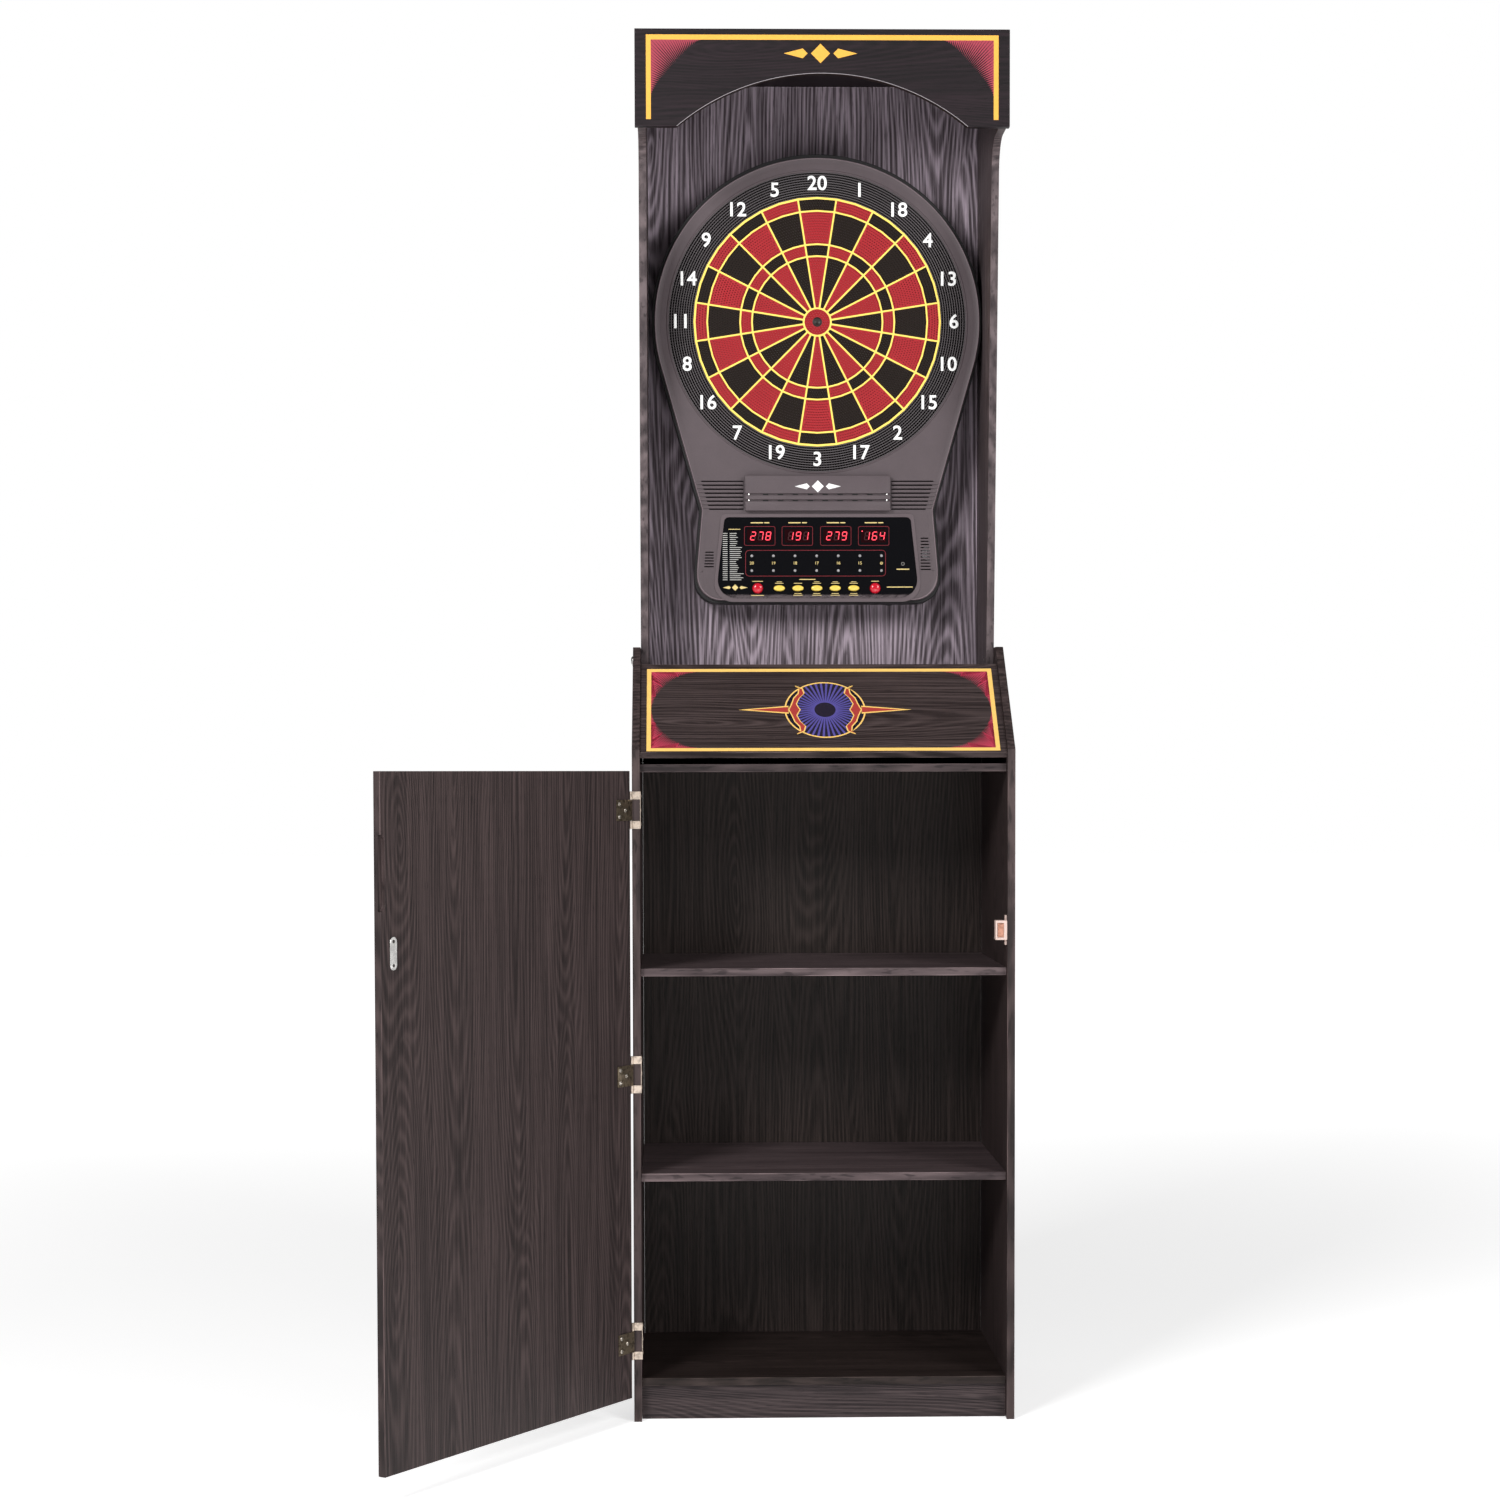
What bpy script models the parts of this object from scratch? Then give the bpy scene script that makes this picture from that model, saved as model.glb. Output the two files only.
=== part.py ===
"""Electronic dartboard in a floor-standing arcade cabinet, door open.

Metres, +Z up, +Y towards the wall behind.  The origin is the middle of the kick board's underside.
Depths below are measured back from the front edges of the lower side panels, and depth() turns
them into Y.  Inside the dart head, depths are measured back from its face.
"""

import math

import bmesh
import bpy
from mathutils import Matrix, Vector

# ---- driving dimensions ---------------------------------------------------------------------
GAP = 0.0003             # air left between pieces that touch
BOARD = 0.012            # laminated board
WIDTH = 0.588            # outside the lower side panels
DEPTH = 0.390            # side panels, front to back
HEIGHT = 2.131           # floor to the top of the header
KICK_DEPTH = 0.020       # kick board behind the side panels' front edges
SHELF_SETBACK = 0.013    # shelf fronts behind the side panels' front edges

SLOPE_START_Z = 1.036    # front corner of a lower side panel, where its slope starts
WING_DEPTH = 0.168       # where the slope ends, on top of the wing
WING_Z = 1.200
BASE_TOP_Z = 0.065
LOWER_SHELF_TOP_Z = 0.383
UPPER_SHELF_TOP_Z = 0.700
CEILING_TOP_Z = 1.014    # board over the cupboard
BACK_DEPTH = 0.372       # face of the thin back panel
BACK_THICKNESS = 0.004

CONSOLE_DROP = 0.005     # console panel's face below the slope of the wings
CONSOLE_LAP = 0.0008     # and its front end ahead of the slope's start
CONSOLE_LENGTH = 0.2005
DECK_TOP_Z = 1.161
DECK_DEPTH = 0.158

UPPER_FRONT_TOP = 0.125      # depth of the upper side's front edge under the header
UPPER_FRONT_BOTTOM = 0.192   # and at the deck
FLARE_RADIUS = 0.050
HEADER_WIDTH = 0.572
HEADER_DEPTH = 0.020
HEADER_BOTTOM_Z = 1.984
ARCH_HALF_WIDTH = 0.222
ARCH_RISE = 0.080
PANEL_DEPTH = 0.328          # face of the board that the dart head hangs on

BOLT_Z = 1.181
BOLT_DEPTHS = (0.222, 0.345)
BOLT_HOLE = 0.0034
BOLT_SHANK = 0.0030
BOLT_REACH = 0.0010          # shank past the inside of the upper side
BOLT_HEAD_RADIUS = 0.0070
BOLT_HEAD_HEIGHT = 0.0036

DOOR_BOTTOM_Z = 0.039
DOOR_TOP_Z = 1.004
DOOR_WIDTH = 0.582
DOOR_INSET = 0.0025          # door's hinged edge inside the side panel's outer face
DOOR_GAP = 0.0022            # closed door's back to the side panels' front edges
DOOR_OPEN_DEG = 124.5        # how far the door stands open at rest
HINGE_OUT = 0.0018           # hinge axis outside the side panel's outer face
HINGE_FORWARD = 0.0038       # and in front of its front edge
HINGE_HEIGHTS = (0.126, 0.538, 0.944)
KNUCKLE_RADIUS = 0.0025
PIN_RADIUS = 0.0010
PIN_BORE = 0.0014
PLATE_HALF = 0.0285          # half the height of a hinge's frame plate
LEAF_HALF = 0.0160           # half the height of its door leaf
LEAF_REACH = 0.040
LEAF_DEPTHS = (-0.0019, -0.0009)
HINGE_STOCK = 0.0010         # sheet the plates and leaves are made of
HINGE_PLAY = 0.0005          # between a leaf's turn and the plate's turns
PLATE_DEPTHS = (0.0004, 0.026)
TAB_DEPTHS = (-0.0016, -0.0004)
FOLD_DEPTH = 0.010
CATCH_Z = 0.758
CATCH_WIDTH = 0.0180
CATCH_DEPTHS = (0.0010, 0.0200)
CATCH_HALF = 0.0150          # half the height of its body
EAR_WIDTH = 0.0030
EAR_DEPTHS = (0.0060, 0.0160)
EAR_HALF = 0.0230
MAGNET_SIDES = (0.0147, 0.0053)
MAGNET_DEPTHS = (0.0006, 0.0127)
MAGNET_HALF = 0.0107
STRIKE_Z = 0.7555
STRIKE_LENGTH = 0.046
STRIKE_WIDTH = 0.0142
STRIKE_THICKNESS = 0.0012
STRIKE_INSET = 0.0280        # strap's middle inside the side panel's outer face
PULL_Z = 0.8655
PULL_LENGTH = 0.105
PULL_WIDTH = 0.0190
PULL_THICKNESS = 0.0110

BULL_X = 0.0028              # the head hangs a little to the right of the middle
BULL_Z = 1.7242
FACE_DEPTH = 0.243
HOUSING_RADIUS = 0.2660
SHOULDER_DEG = -16           # where the disc runs into the straight flanks
WAIST = (-0.1907, -0.3004)   # corners of the console under the disc, from the bull
HIP = (-0.1990, -0.3952)
FOOT = (-0.1990, -0.4500)
WAIST_RADIUS = 0.016
HIP_RADIUS = 0.060
FOOT_RADIUS = 0.038
WINDOW_TOP = (-0.1500, -0.3122)
WINDOW_FOOT = (-0.1645, -0.4430)
WINDOW_TOP_RADIUS = 0.008
WINDOW_FOOT_RADIUS = 0.030
HOUSING_DEPTH = 0.050
REAR_DEPTH = 0.0845
REAR_INSET = 0.002           # rear shell inside the front one
WALL = 0.003
INLET_X = 0.120
INLET_DEPTH = 0.068
INLET_HOLE = 0.0056
INLET_RADIUS = 0.0050
INLET_LENGTH = 0.0170
INLET_PROUD = 0.0020         # socket's end below the rear shell
COLLAR_RADIUS = 0.0072
COLLAR_LENGTH = 0.0030
INLET_BORE = 0.0034
INLET_BORE_LENGTH = 0.0200
NUMBER_RADIUS = 0.2390
RING_FRONT = 0.0030
RING_THICKNESS = 0.0050
TARGET_RADIUS = 0.1970       # outer wire of the doubles
SPIDER_DEPTH = 0.008
SPIDER_RIM = 0.0020
RIB = 0.0026
SECTORS = 20
PAD_CLEARANCE = 0.0004
PAD_FRONT = 0.0004
WEB_FRONT = 0.0086
WEB_BACK = 0.0106
WEB_EDGE = 0.0006            # air round a web
PAD_BACK = 0.0100
BANDS = {                    # scoring band: inner and outer radius of its wires
    "inner_single_segments": (0.0220, 0.1050),
    "triple_segments": (0.1050, 0.1240),
    "outer_single_segments": (0.1240, 0.1770),
    "double_segments": (0.1770, 0.1970),
}
BULL_OUTER = 0.0203
BULL_INNER = 0.0076
BULL_FLANGE = 0.0018

MEMBRANE_FRONT = 0.0122
MEMBRANE_THICKNESS = 0.0010
FOAM_FRONT = 0.0136
FOAM_THICKNESS = 0.0060
BOARD_HALF = 0.150
BOARD_HEIGHTS = (-0.4350, -0.3142)
BOARD_DEPTHS = (0.0300, 0.0316)
SPEAKER_X = 0.1800
SPEAKER_DROP = 0.3695
SPEAKER_RADIUS = 0.0120
SPEAKER_DEPTH = 0.0120
SPEAKER_THICKNESS = 0.0100

WINDOW_FRONT = 0.0010
WINDOW_THICKNESS = 0.0025
RED_BUTTONS = (-0.0967, 0.0930)
YELLOW_BUTTONS = (-0.0618, -0.0317, -0.0013, 0.0284, 0.0583)
BUTTON_DROP = 0.4262         # buttons below the bull
RED_RADIUS = 0.0086
YELLOW_LENGTH = 0.0180
YELLOW_HEIGHT = 0.0094
BUTTON_CLEARANCE = 0.0005
BUTTON_PROUD = 0.0035        # in front of the head's face
BUTTON_BACK = 0.0115
FLANGE_WIDTH = 0.0013
FLANGE_THICKNESS = 0.0012
FLANGE_FRONT = 0.0039
DISPLAY_DROP = 0.3422
DISPLAYS = (-0.0932, -0.0326, 0.0294, 0.0906)
DISPLAY_HALF = (0.0235, 0.0150)
DISPLAY_DEPTHS = (0.0060, 0.0140)
HOLDER_HALF = 0.1165
HOLDER_HEIGHTS = (-0.3026, -0.2463)
HOLDER_THICKNESS = 0.0100
HOLDER_RADIUS = 0.004

BLACK_ASH = (0.030, 0.026, 0.028)
GREY_ASH = (0.085, 0.075, 0.085)
PLASTIC = (0.075, 0.070, 0.078)
BLACK = (0.008, 0.008, 0.009)
RED = (0.45, 0.012, 0.025)
YELLOW = (0.80, 0.55, 0.06)
METAL = (0.55, 0.50, 0.44)
GREEN = (0.02, 0.16, 0.06)
FOAM = (0.30, 0.30, 0.31)

FRONT_Y = -(KICK_DEPTH + BOARD / 2)
INNER_X = WIDTH / 2 - BOARD
UPPER_X = INNER_X - GAP
UPPER_INNER_X = UPPER_X - BOARD
HINGE_X = -(WIDTH / 2 + HINGE_OUT)
HINGE_Y = FRONT_Y - HINGE_FORWARD


def depth(value):
    """Y of a depth behind the front edges of the lower side panels."""
    return FRONT_Y + value


def head_place(x, value, z):
    """A point from the bull: X to the right, depth behind the head's face, Z up."""
    return (BULL_X + x, depth(FACE_DEPTH + value), BULL_Z + z)


for old in list(bpy.data.objects):
    bpy.data.objects.remove(old, do_unlink=True)
for old in list(bpy.data.collections):
    bpy.data.collections.remove(old)

parts = bpy.data.collections.new("electronic_dartboard")
cutters = bpy.data.collections.new("cutters")
for group in (parts, cutters):
    bpy.context.scene.collection.children.link(group)


# ---- helpers --------------------------------------------------------------------------------
def material(name, colour, roughness, metallic=0.0):
    """A Principled material in one colour."""
    made = bpy.data.materials.new(name)
    made.use_nodes = True
    shader = made.node_tree.nodes["Principled BSDF"]
    shader.inputs["Base Color"].default_value = (*colour, 1.0)
    shader.inputs["Roughness"].default_value = roughness
    shader.inputs["Metallic"].default_value = metallic
    made.diffuse_color = (*colour, 1.0)
    return made


def add(name, mesh, look=None, parent=None):
    """A mesh as a named part, or as a hidden cutter when it has no look."""
    obj = bpy.data.objects.new(name, mesh)
    if look is None:
        cutters.objects.link(obj)
        obj.hide_render = True
        obj.display_type = "WIRE"
    else:
        parts.objects.link(obj)
        colour, roughness, metallic = look
        obj.data.materials.append(material(name, colour, roughness, metallic))
    obj.parent = parent
    return obj


def box(name, low, high, look=None, parent=None):
    """A box between two corners."""
    low = Vector(low)
    high = Vector(high)
    size = high - low
    mesh = bpy.data.meshes.new(name)
    shape = bmesh.new()
    bmesh.ops.create_cube(shape, size=1.0)
    bmesh.ops.scale(shape, vec=size, verts=shape.verts)
    bmesh.ops.translate(shape, vec=(low + high) / 2, verts=shape.verts)
    shape.to_mesh(mesh)
    shape.free()
    return add(name, mesh, look, parent)


def cylinder(name, centre, radius, length, axis, look=None, parent=None, sides=24):
    """A cylinder about its centre, along X, Y or Z."""
    turn = {"X": Matrix.Rotation(math.pi / 2, 3, "Y"), "Y": Matrix.Rotation(math.pi / 2, 3, "X")}
    mesh = bpy.data.meshes.new(name)
    shape = bmesh.new()
    bmesh.ops.create_cone(shape, cap_ends=True, segments=sides, radius1=radius, radius2=radius,
                          depth=length)
    if axis in turn:
        bmesh.ops.rotate(shape, matrix=turn[axis], verts=shape.verts)
    bmesh.ops.translate(shape, vec=centre, verts=shape.verts)
    shape.to_mesh(mesh)
    shape.free()
    mesh.shade_smooth()
    mesh.set_sharp_from_angle(angle=math.radians(40))
    return add(name, mesh, look, parent)


def flat_shape(name, outlines, thickness, frame, look=None, parent=None):
    """Flat outlines filled, extruded to a thickness and turned by a matrix.

    The first outline is the rim and the others inside it are holes, or else they are islands.
    The thickness lies on both sides of the outlines' plane.
    """
    curve = bpy.data.curves.new(name, "CURVE")
    curve.dimensions = "2D"
    curve.fill_mode = "BOTH"
    curve.extrude = thickness / 2
    for points in outlines:
        spline = curve.splines.new("POLY")
        spline.points.add(len(points) - 1)
        for place, point in zip(spline.points, points):
            place.co = (point[0], point[1], 0.0, 1.0)
        spline.use_cyclic_u = True
    guide = bpy.data.objects.new(name + "_outline", curve)
    cutters.objects.link(guide)
    guide.matrix_world = frame
    bpy.context.view_layer.update()
    graph = bpy.context.evaluated_depsgraph_get()
    mesh = bpy.data.meshes.new_from_object(guide.evaluated_get(graph))
    mesh.transform(frame)
    bpy.data.objects.remove(guide)
    shape = bmesh.new()
    shape.from_mesh(mesh)
    bmesh.ops.remove_doubles(shape, verts=shape.verts, dist=1e-6)
    bmesh.ops.recalc_face_normals(shape, faces=shape.faces)
    shape.to_mesh(mesh)
    shape.free()
    mesh.materials.clear()
    return add(name, mesh, look, parent)


def facing_front(y):
    """A frame whose flat X and Y are the object's X and Z, at one Y."""
    return Matrix.Translation((0, y, 0)) @ Matrix.Rotation(math.pi / 2, 4, "X")


def on_head(value):
    """The same at a depth behind the head's face, its origin at the bull."""
    return Matrix.Translation(head_place(0, value, 0)) @ Matrix.Rotation(math.pi / 2, 4, "X")


def facing_side(x):
    """A frame whose flat X and Y are the object's Y and Z, at one X."""
    return Matrix(((0, 0, 1, x), (1, 0, 0, 0), (0, 1, 0, 0), (0, 0, 0, 1)))


def boolean(target, tool, operation="DIFFERENCE"):
    """Cut a tool from a part, or join it on, and clear the tool away."""
    change = target.modifiers.new(tool.name, "BOOLEAN")
    change.operation = operation
    change.object = tool
    bpy.context.view_layer.update()
    graph = bpy.context.evaluated_depsgraph_get()
    mesh = bpy.data.meshes.new_from_object(target.evaluated_get(graph))
    look = list(target.data.materials)
    target.modifiers.clear()
    target.data = mesh
    mesh.materials.clear()
    for kept in look:
        mesh.materials.append(kept)
    bpy.data.objects.remove(tool)


def arc(centre, radius, start, end, steps):
    """Points on an arc, angles in degrees, both ends included."""
    points = []
    for step in range(steps + 1):
        angle = math.radians(start + (end - start) * step / steps)
        points.append((centre[0] + radius * math.cos(angle), centre[1] + radius * math.sin(angle)))
    return points


def circle(centre, radius, steps):
    """Points round a circle, once each."""
    return arc(centre, radius, 0, 360, steps)[:-1]


def stadium(centre, length, height, steps=6):
    """An outline with round ends, longer in X."""
    reach = (length - height) / 2
    right = arc((centre[0] + reach, centre[1]), height / 2, -90, 90, steps)
    left = arc((centre[0] - reach, centre[1]), height / 2, 90, 270, steps)
    return right + left


def rounded(points, radii, steps=5):
    """A polygon with its corners rounded, each to its own radius."""
    outline = []
    count = len(points)
    for index in range(count):
        corner = Vector(points[index])
        before = Vector(points[index - 1]) - corner
        after = Vector(points[(index + 1) % count]) - corner
        radius = radii[index]
        if radius <= 0:
            outline.append(tuple(corner))
            continue
        half = before.angle(after) / 2
        reach = radius / math.tan(half)
        bisector = (before.normalized() + after.normalized()).normalized()
        middle = corner + bisector * radius / math.sin(half)
        first = corner + before.normalized() * reach - middle
        last = corner + after.normalized() * reach - middle
        start = math.atan2(first.y, first.x)
        turn = (math.atan2(last.y, last.x) - start + math.pi) % (2 * math.pi) - math.pi
        for step in range(steps + 1):
            angle = start + turn * step / steps
            outline.append((middle.x + radius * math.cos(angle), middle.y + radius * math.sin(angle)))
    return outline


BOARD_LOOK = (BLACK_ASH, 0.55, 0.0)
GREY_BOARD_LOOK = (GREY_ASH, 0.55, 0.0)
PLASTIC_LOOK = (PLASTIC, 0.5, 0.0)
BLACK_LOOK = (BLACK, 0.35, 0.0)
METAL_LOOK = (METAL, 0.32, 1.0)


# ---- lower cabinet --------------------------------------------------------------------------
def bolt_holes(panel, x):
    """Clearance holes for the two bolts that join an upper side to a wing."""
    for index, back in enumerate(BOLT_DEPTHS):
        place = (x, depth(back), BOLT_Z)
        hole = cylinder(f"bolt_hole_{index}", place, BOLT_HOLE, 3 * BOARD, "X", sides=16)
        boolean(panel, hole)


def lower_cabinet():
    """Side panels with sloping wings, base, kick board, shelves, back and console."""
    outline = [(depth(0), 0.0), (depth(DEPTH), 0.0), (depth(DEPTH), WING_Z),
               (depth(WING_DEPTH), WING_Z), (depth(0), SLOPE_START_Z)]
    for side, sign in (("left", -1), ("right", 1)):
        x = sign * (WIDTH - BOARD) / 2
        panel = flat_shape(f"side_panel_{side}", [outline], BOARD, facing_side(x), BOARD_LOOK)
        bolt_holes(panel, x)
    reach = INNER_X - GAP
    back = depth(BACK_DEPTH) - GAP
    boards = {"base_panel": BASE_TOP_Z, "shelf_lower": LOWER_SHELF_TOP_Z,
              "shelf_upper": UPPER_SHELF_TOP_Z, "ceiling_panel": CEILING_TOP_Z}
    for name, top in boards.items():
        box(name, (-reach, depth(SHELF_SETBACK), top - BOARD), (reach, back, top), BOARD_LOOK)
    box("kick_board", (-reach, depth(KICK_DEPTH), 0.0),
        (reach, depth(KICK_DEPTH + BOARD), BASE_TOP_Z - BOARD - GAP), BOARD_LOOK)
    box("back_panel", (-reach, depth(BACK_DEPTH), 0.0),
        (reach, depth(BACK_DEPTH + BACK_THICKNESS), DECK_TOP_Z - BOARD - GAP), BOARD_LOOK)
    box("deck_panel", (-reach, depth(DECK_DEPTH), DECK_TOP_Z - BOARD),
        (reach, depth(DEPTH) - BOARD, DECK_TOP_Z), BOARD_LOOK)
    console_panel(reach)


def console_panel(reach):
    """The board that slopes up between the wings, square to its own face at both ends."""
    slope = Vector((WING_DEPTH, WING_Z - SLOPE_START_Z)).normalized()
    inward = Vector((slope.y, -slope.x))
    start = Vector((depth(0), SLOPE_START_Z)) + inward * CONSOLE_DROP - slope * CONSOLE_LAP
    corners = [start, start + inward * BOARD, start + inward * BOARD + slope * CONSOLE_LENGTH,
               start + slope * CONSOLE_LENGTH]
    outline = [tuple(corner) for corner in corners]
    flat_shape("console_panel", [outline], 2 * reach, facing_side(0), BOARD_LOOK)


# ---- upper cabinet --------------------------------------------------------------------------
def upper_cabinet():
    """Flared sides, the board that carries the dart head, top and arched header."""
    header_back = depth(HEADER_DEPTH + BOARD) + GAP
    flare = arc((depth(UPPER_FRONT_TOP) - FLARE_RADIUS, HEADER_BOTTOM_Z - FLARE_RADIUS), FLARE_RADIUS,
                90, 5, 6)
    outline = [(header_back, HEIGHT - GAP), (header_back, HEADER_BOTTOM_Z), *flare,
               (depth(UPPER_FRONT_BOTTOM), DECK_TOP_Z + GAP), (depth(DEPTH), DECK_TOP_Z + GAP),
               (depth(DEPTH), HEIGHT - GAP)]
    for side, sign in (("left", -1), ("right", 1)):
        x = sign * (UPPER_X - BOARD / 2)
        panel = flat_shape(f"upper_side_{side}", [outline], BOARD, facing_side(x), BOARD_LOOK)
        bolt_holes(panel, x)
    reach = UPPER_INNER_X - GAP
    box("dartboard_panel", (-reach, depth(PANEL_DEPTH), DECK_TOP_Z + GAP),
        (reach, depth(PANEL_DEPTH) + BOARD, HEIGHT - BOARD - 2 * GAP), GREY_BOARD_LOOK)
    box("top_panel", (-reach, header_back, HEIGHT - BOARD - GAP),
        (reach, depth(DEPTH), HEIGHT - GAP), BOARD_LOOK)
    half = HEADER_WIDTH / 2
    arch_radius = (ARCH_HALF_WIDTH ** 2 + ARCH_RISE ** 2) / (2 * ARCH_RISE)
    spread = math.degrees(math.asin(ARCH_HALF_WIDTH / arch_radius))
    arch = arc((0, HEADER_BOTTOM_Z + ARCH_RISE - arch_radius), arch_radius, 90 + spread, 90 - spread, 16)
    outline = [(-half, HEADER_BOTTOM_Z), *arch, (half, HEADER_BOTTOM_Z), (half, HEIGHT), (-half, HEIGHT)]
    flat_shape("header_panel", [outline], BOARD, facing_front(depth(HEADER_DEPTH + BOARD / 2)), BOARD_LOOK)


def cabinet_bolts():
    """Dome-headed bolts through each wing into the upper side behind it."""
    for side, sign in (("left", -1), ("right", 1)):
        for place, back in zip(("front", "rear"), BOLT_DEPTHS):
            name = f"bolt_{side}_{place}"
            middle = (sign * (WIDTH / 2 - BOARD), depth(back), BOLT_Z)
            length = 2 * (BOARD + BOLT_REACH)
            shank = cylinder(name, middle, BOLT_SHANK, length, "X", METAL_LOOK, sides=12)
            middle = (sign * (WIDTH / 2 + GAP + BOLT_HEAD_HEIGHT / 2), depth(back), BOLT_Z)
            head = cylinder("bolt_head", middle, BOLT_HEAD_RADIUS, BOLT_HEAD_HEIGHT, "X", sides=16)
            boolean(shank, head, "UNION")


# ---- door -----------------------------------------------------------------------------------
def door():
    """The door, its strike plate and three hinges, made closed and turned open about the hinge axis."""
    axis = bpy.data.objects.new("door_axis", None)
    parts.objects.link(axis)
    axis.location = (HINGE_X, HINGE_Y, 0)
    left = -(WIDTH / 2) + DOOR_INSET
    right = left + DOOR_WIDTH
    face = depth(-DOOR_GAP)
    panel = box("door_panel", (left, face - BOARD, DOOR_BOTTOM_Z), (right, face, DOOR_TOP_Z), BOARD_LOOK)
    for name, z in zip(("lower", "middle", "upper"), HINGE_HEIGHTS):
        hinge(name, z, axis)
    finger_pull(panel, right, face)
    strike = flat_shape("strike_plate", [strike_outline()], STRIKE_THICKNESS,
                        facing_front(face + GAP + STRIKE_THICKNESS / 2), METAL_LOOK)
    for moved in (panel, strike):
        hang(moved, axis)
    bpy.context.view_layer.update()
    axis.rotation_euler = (0, 0, -math.radians(DOOR_OPEN_DEG))


def hang(obj, axis):
    """Give a closed-door piece the hinge axis as its parent, where it stands."""
    obj.data.transform(Matrix.Translation(-axis.location))
    obj.parent = axis


def finger_pull(panel, right, face):
    """The hollow along the free edge of the door's back that fingers pull by."""
    outline = stadium((0, 0), PULL_LENGTH, PULL_WIDTH)
    frame = Matrix.Translation((right, face, PULL_Z)) @ Matrix.Rotation(math.pi / 2, 4, "X")
    frame = frame @ Matrix.Rotation(math.pi / 2, 4, "Z")
    hollow = flat_shape("finger_pull", [outline], PULL_THICKNESS, frame)
    boolean(panel, hollow)


def strike_outline():
    """A steel strap with round ends, across from the catch."""
    outline = stadium((0, 0), STRIKE_LENGTH, STRIKE_WIDTH)
    x = WIDTH / 2 - STRIKE_INSET
    return [(x + point[1], STRIKE_Z + point[0]) for point in outline]


def knuckle(name, low, high):
    """One turn of a hinge round its pin."""
    middle = (HINGE_X, HINGE_Y, (low + high) / 2)
    return cylinder(name, middle, KNUCKLE_RADIUS, high - low, "Z", sides=16)


def hinge(name, z, axis):
    """A wrap hinge: frame plate round the side panel's edge, leaf on the door's back, pin."""
    top = z + PLATE_HALF
    bottom = z - PLATE_HALF
    rim = LEAF_HALF + HINGE_PLAY
    inner = -INNER_X + GAP
    outer = inner + HINGE_STOCK
    plate = box(f"hinge_plate_{name}", (inner, depth(PLATE_DEPTHS[0]), bottom),
                (outer, depth(PLATE_DEPTHS[1]), top), METAL_LOOK)
    for index, (low, high) in enumerate(((bottom, z - rim), (z + rim, top))):
        front, back = depth(TAB_DEPTHS[0]), depth(TAB_DEPTHS[1])
        boolean(plate, box(f"tab_{index}", (HINGE_X, front, low), (outer, back, high)), "UNION")
        boolean(plate, box(f"fold_{index}", (inner, front, low), (outer, depth(FOLD_DEPTH), high)), "UNION")
        boolean(plate, knuckle(f"turn_{index}", low, high), "UNION")
    leaf = box(f"hinge_leaf_{name}", (HINGE_X, depth(LEAF_DEPTHS[0]), z - LEAF_HALF),
               (HINGE_X + LEAF_REACH, depth(LEAF_DEPTHS[1]), z + LEAF_HALF), METAL_LOOK)
    boolean(leaf, knuckle("leaf_turn", z - LEAF_HALF, z + LEAF_HALF), "UNION")
    for piece in (plate, leaf):
        bore = cylinder("pin_bore", (HINGE_X, HINGE_Y, z), PIN_BORE, 4 * PLATE_HALF, "Z", sides=12)
        boolean(piece, bore)
    hang(leaf, axis)
    cylinder(f"hinge_pin_{name}", (HINGE_X, HINGE_Y, z), PIN_RADIUS, 2 * (PLATE_HALF + HINGE_PLAY), "Z",
             METAL_LOOK, sides=12)


def magnetic_catch():
    """A plastic catch on the right-hand wall with a magnet in its nose."""
    wall = INNER_X - GAP

    def slab(name, sides, depths, half, look=None):
        near, far = sides
        front, back = depths
        return box(name, (wall - near, depth(front), CATCH_Z - half),
                   (wall - far, depth(back), CATCH_Z + half), look)

    body = slab("catch_body", (CATCH_WIDTH, 0.0), CATCH_DEPTHS, CATCH_HALF, (FOAM, 0.4, 0.0))
    boolean(body, slab("catch_ears", (EAR_WIDTH, 0.0), EAR_DEPTHS, EAR_HALF), "UNION")
    sides = (MAGNET_SIDES[0] + GAP, MAGNET_SIDES[1] - GAP)
    pocket = slab("magnet_pocket", sides, (0.0, MAGNET_DEPTHS[1] + GAP), MAGNET_HALF + GAP)
    boolean(body, pocket)
    slab("catch_magnet", MAGNET_SIDES, MAGNET_DEPTHS, MAGNET_HALF, METAL_LOOK)


# ---- dart head ------------------------------------------------------------------------------
def head_outline(inset=0.0):
    """The housing seen from the front: a disc that narrows to a waist over a rounded console."""
    radius = HOUSING_RADIUS - inset
    tangent = math.radians(SHOULDER_DEG)
    shoulder = (-radius * math.cos(tangent), radius * math.sin(tangent))
    left = [shoulder, (WAIST[0] + inset, WAIST[1]), (HIP[0] + inset, HIP[1]),
            (FOOT[0] + inset, FOOT[1] + inset)]
    right = [(-x, z) for x, z in reversed(left)]
    radii = [0, WAIST_RADIUS, HIP_RADIUS, FOOT_RADIUS]
    console = rounded(left + right, radii + radii[::-1], 4)
    dome = arc((0, 0), radius, SHOULDER_DEG, 180 - SHOULDER_DEG, 40)
    return dome + console[1:-1]


def window_outline(inset=0.0):
    """The display window: straight across the top, wider towards its rounded bottom."""
    left = [(WINDOW_TOP[0] + inset, WINDOW_TOP[1] - inset),
            (WINDOW_FOOT[0] + inset, WINDOW_FOOT[1] + inset)]
    right = [(-x, z) for x, z in reversed(left)]
    radii = [WINDOW_TOP_RADIUS, WINDOW_FOOT_RADIUS]
    return rounded(left + right, radii + radii[::-1], 5)


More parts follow.
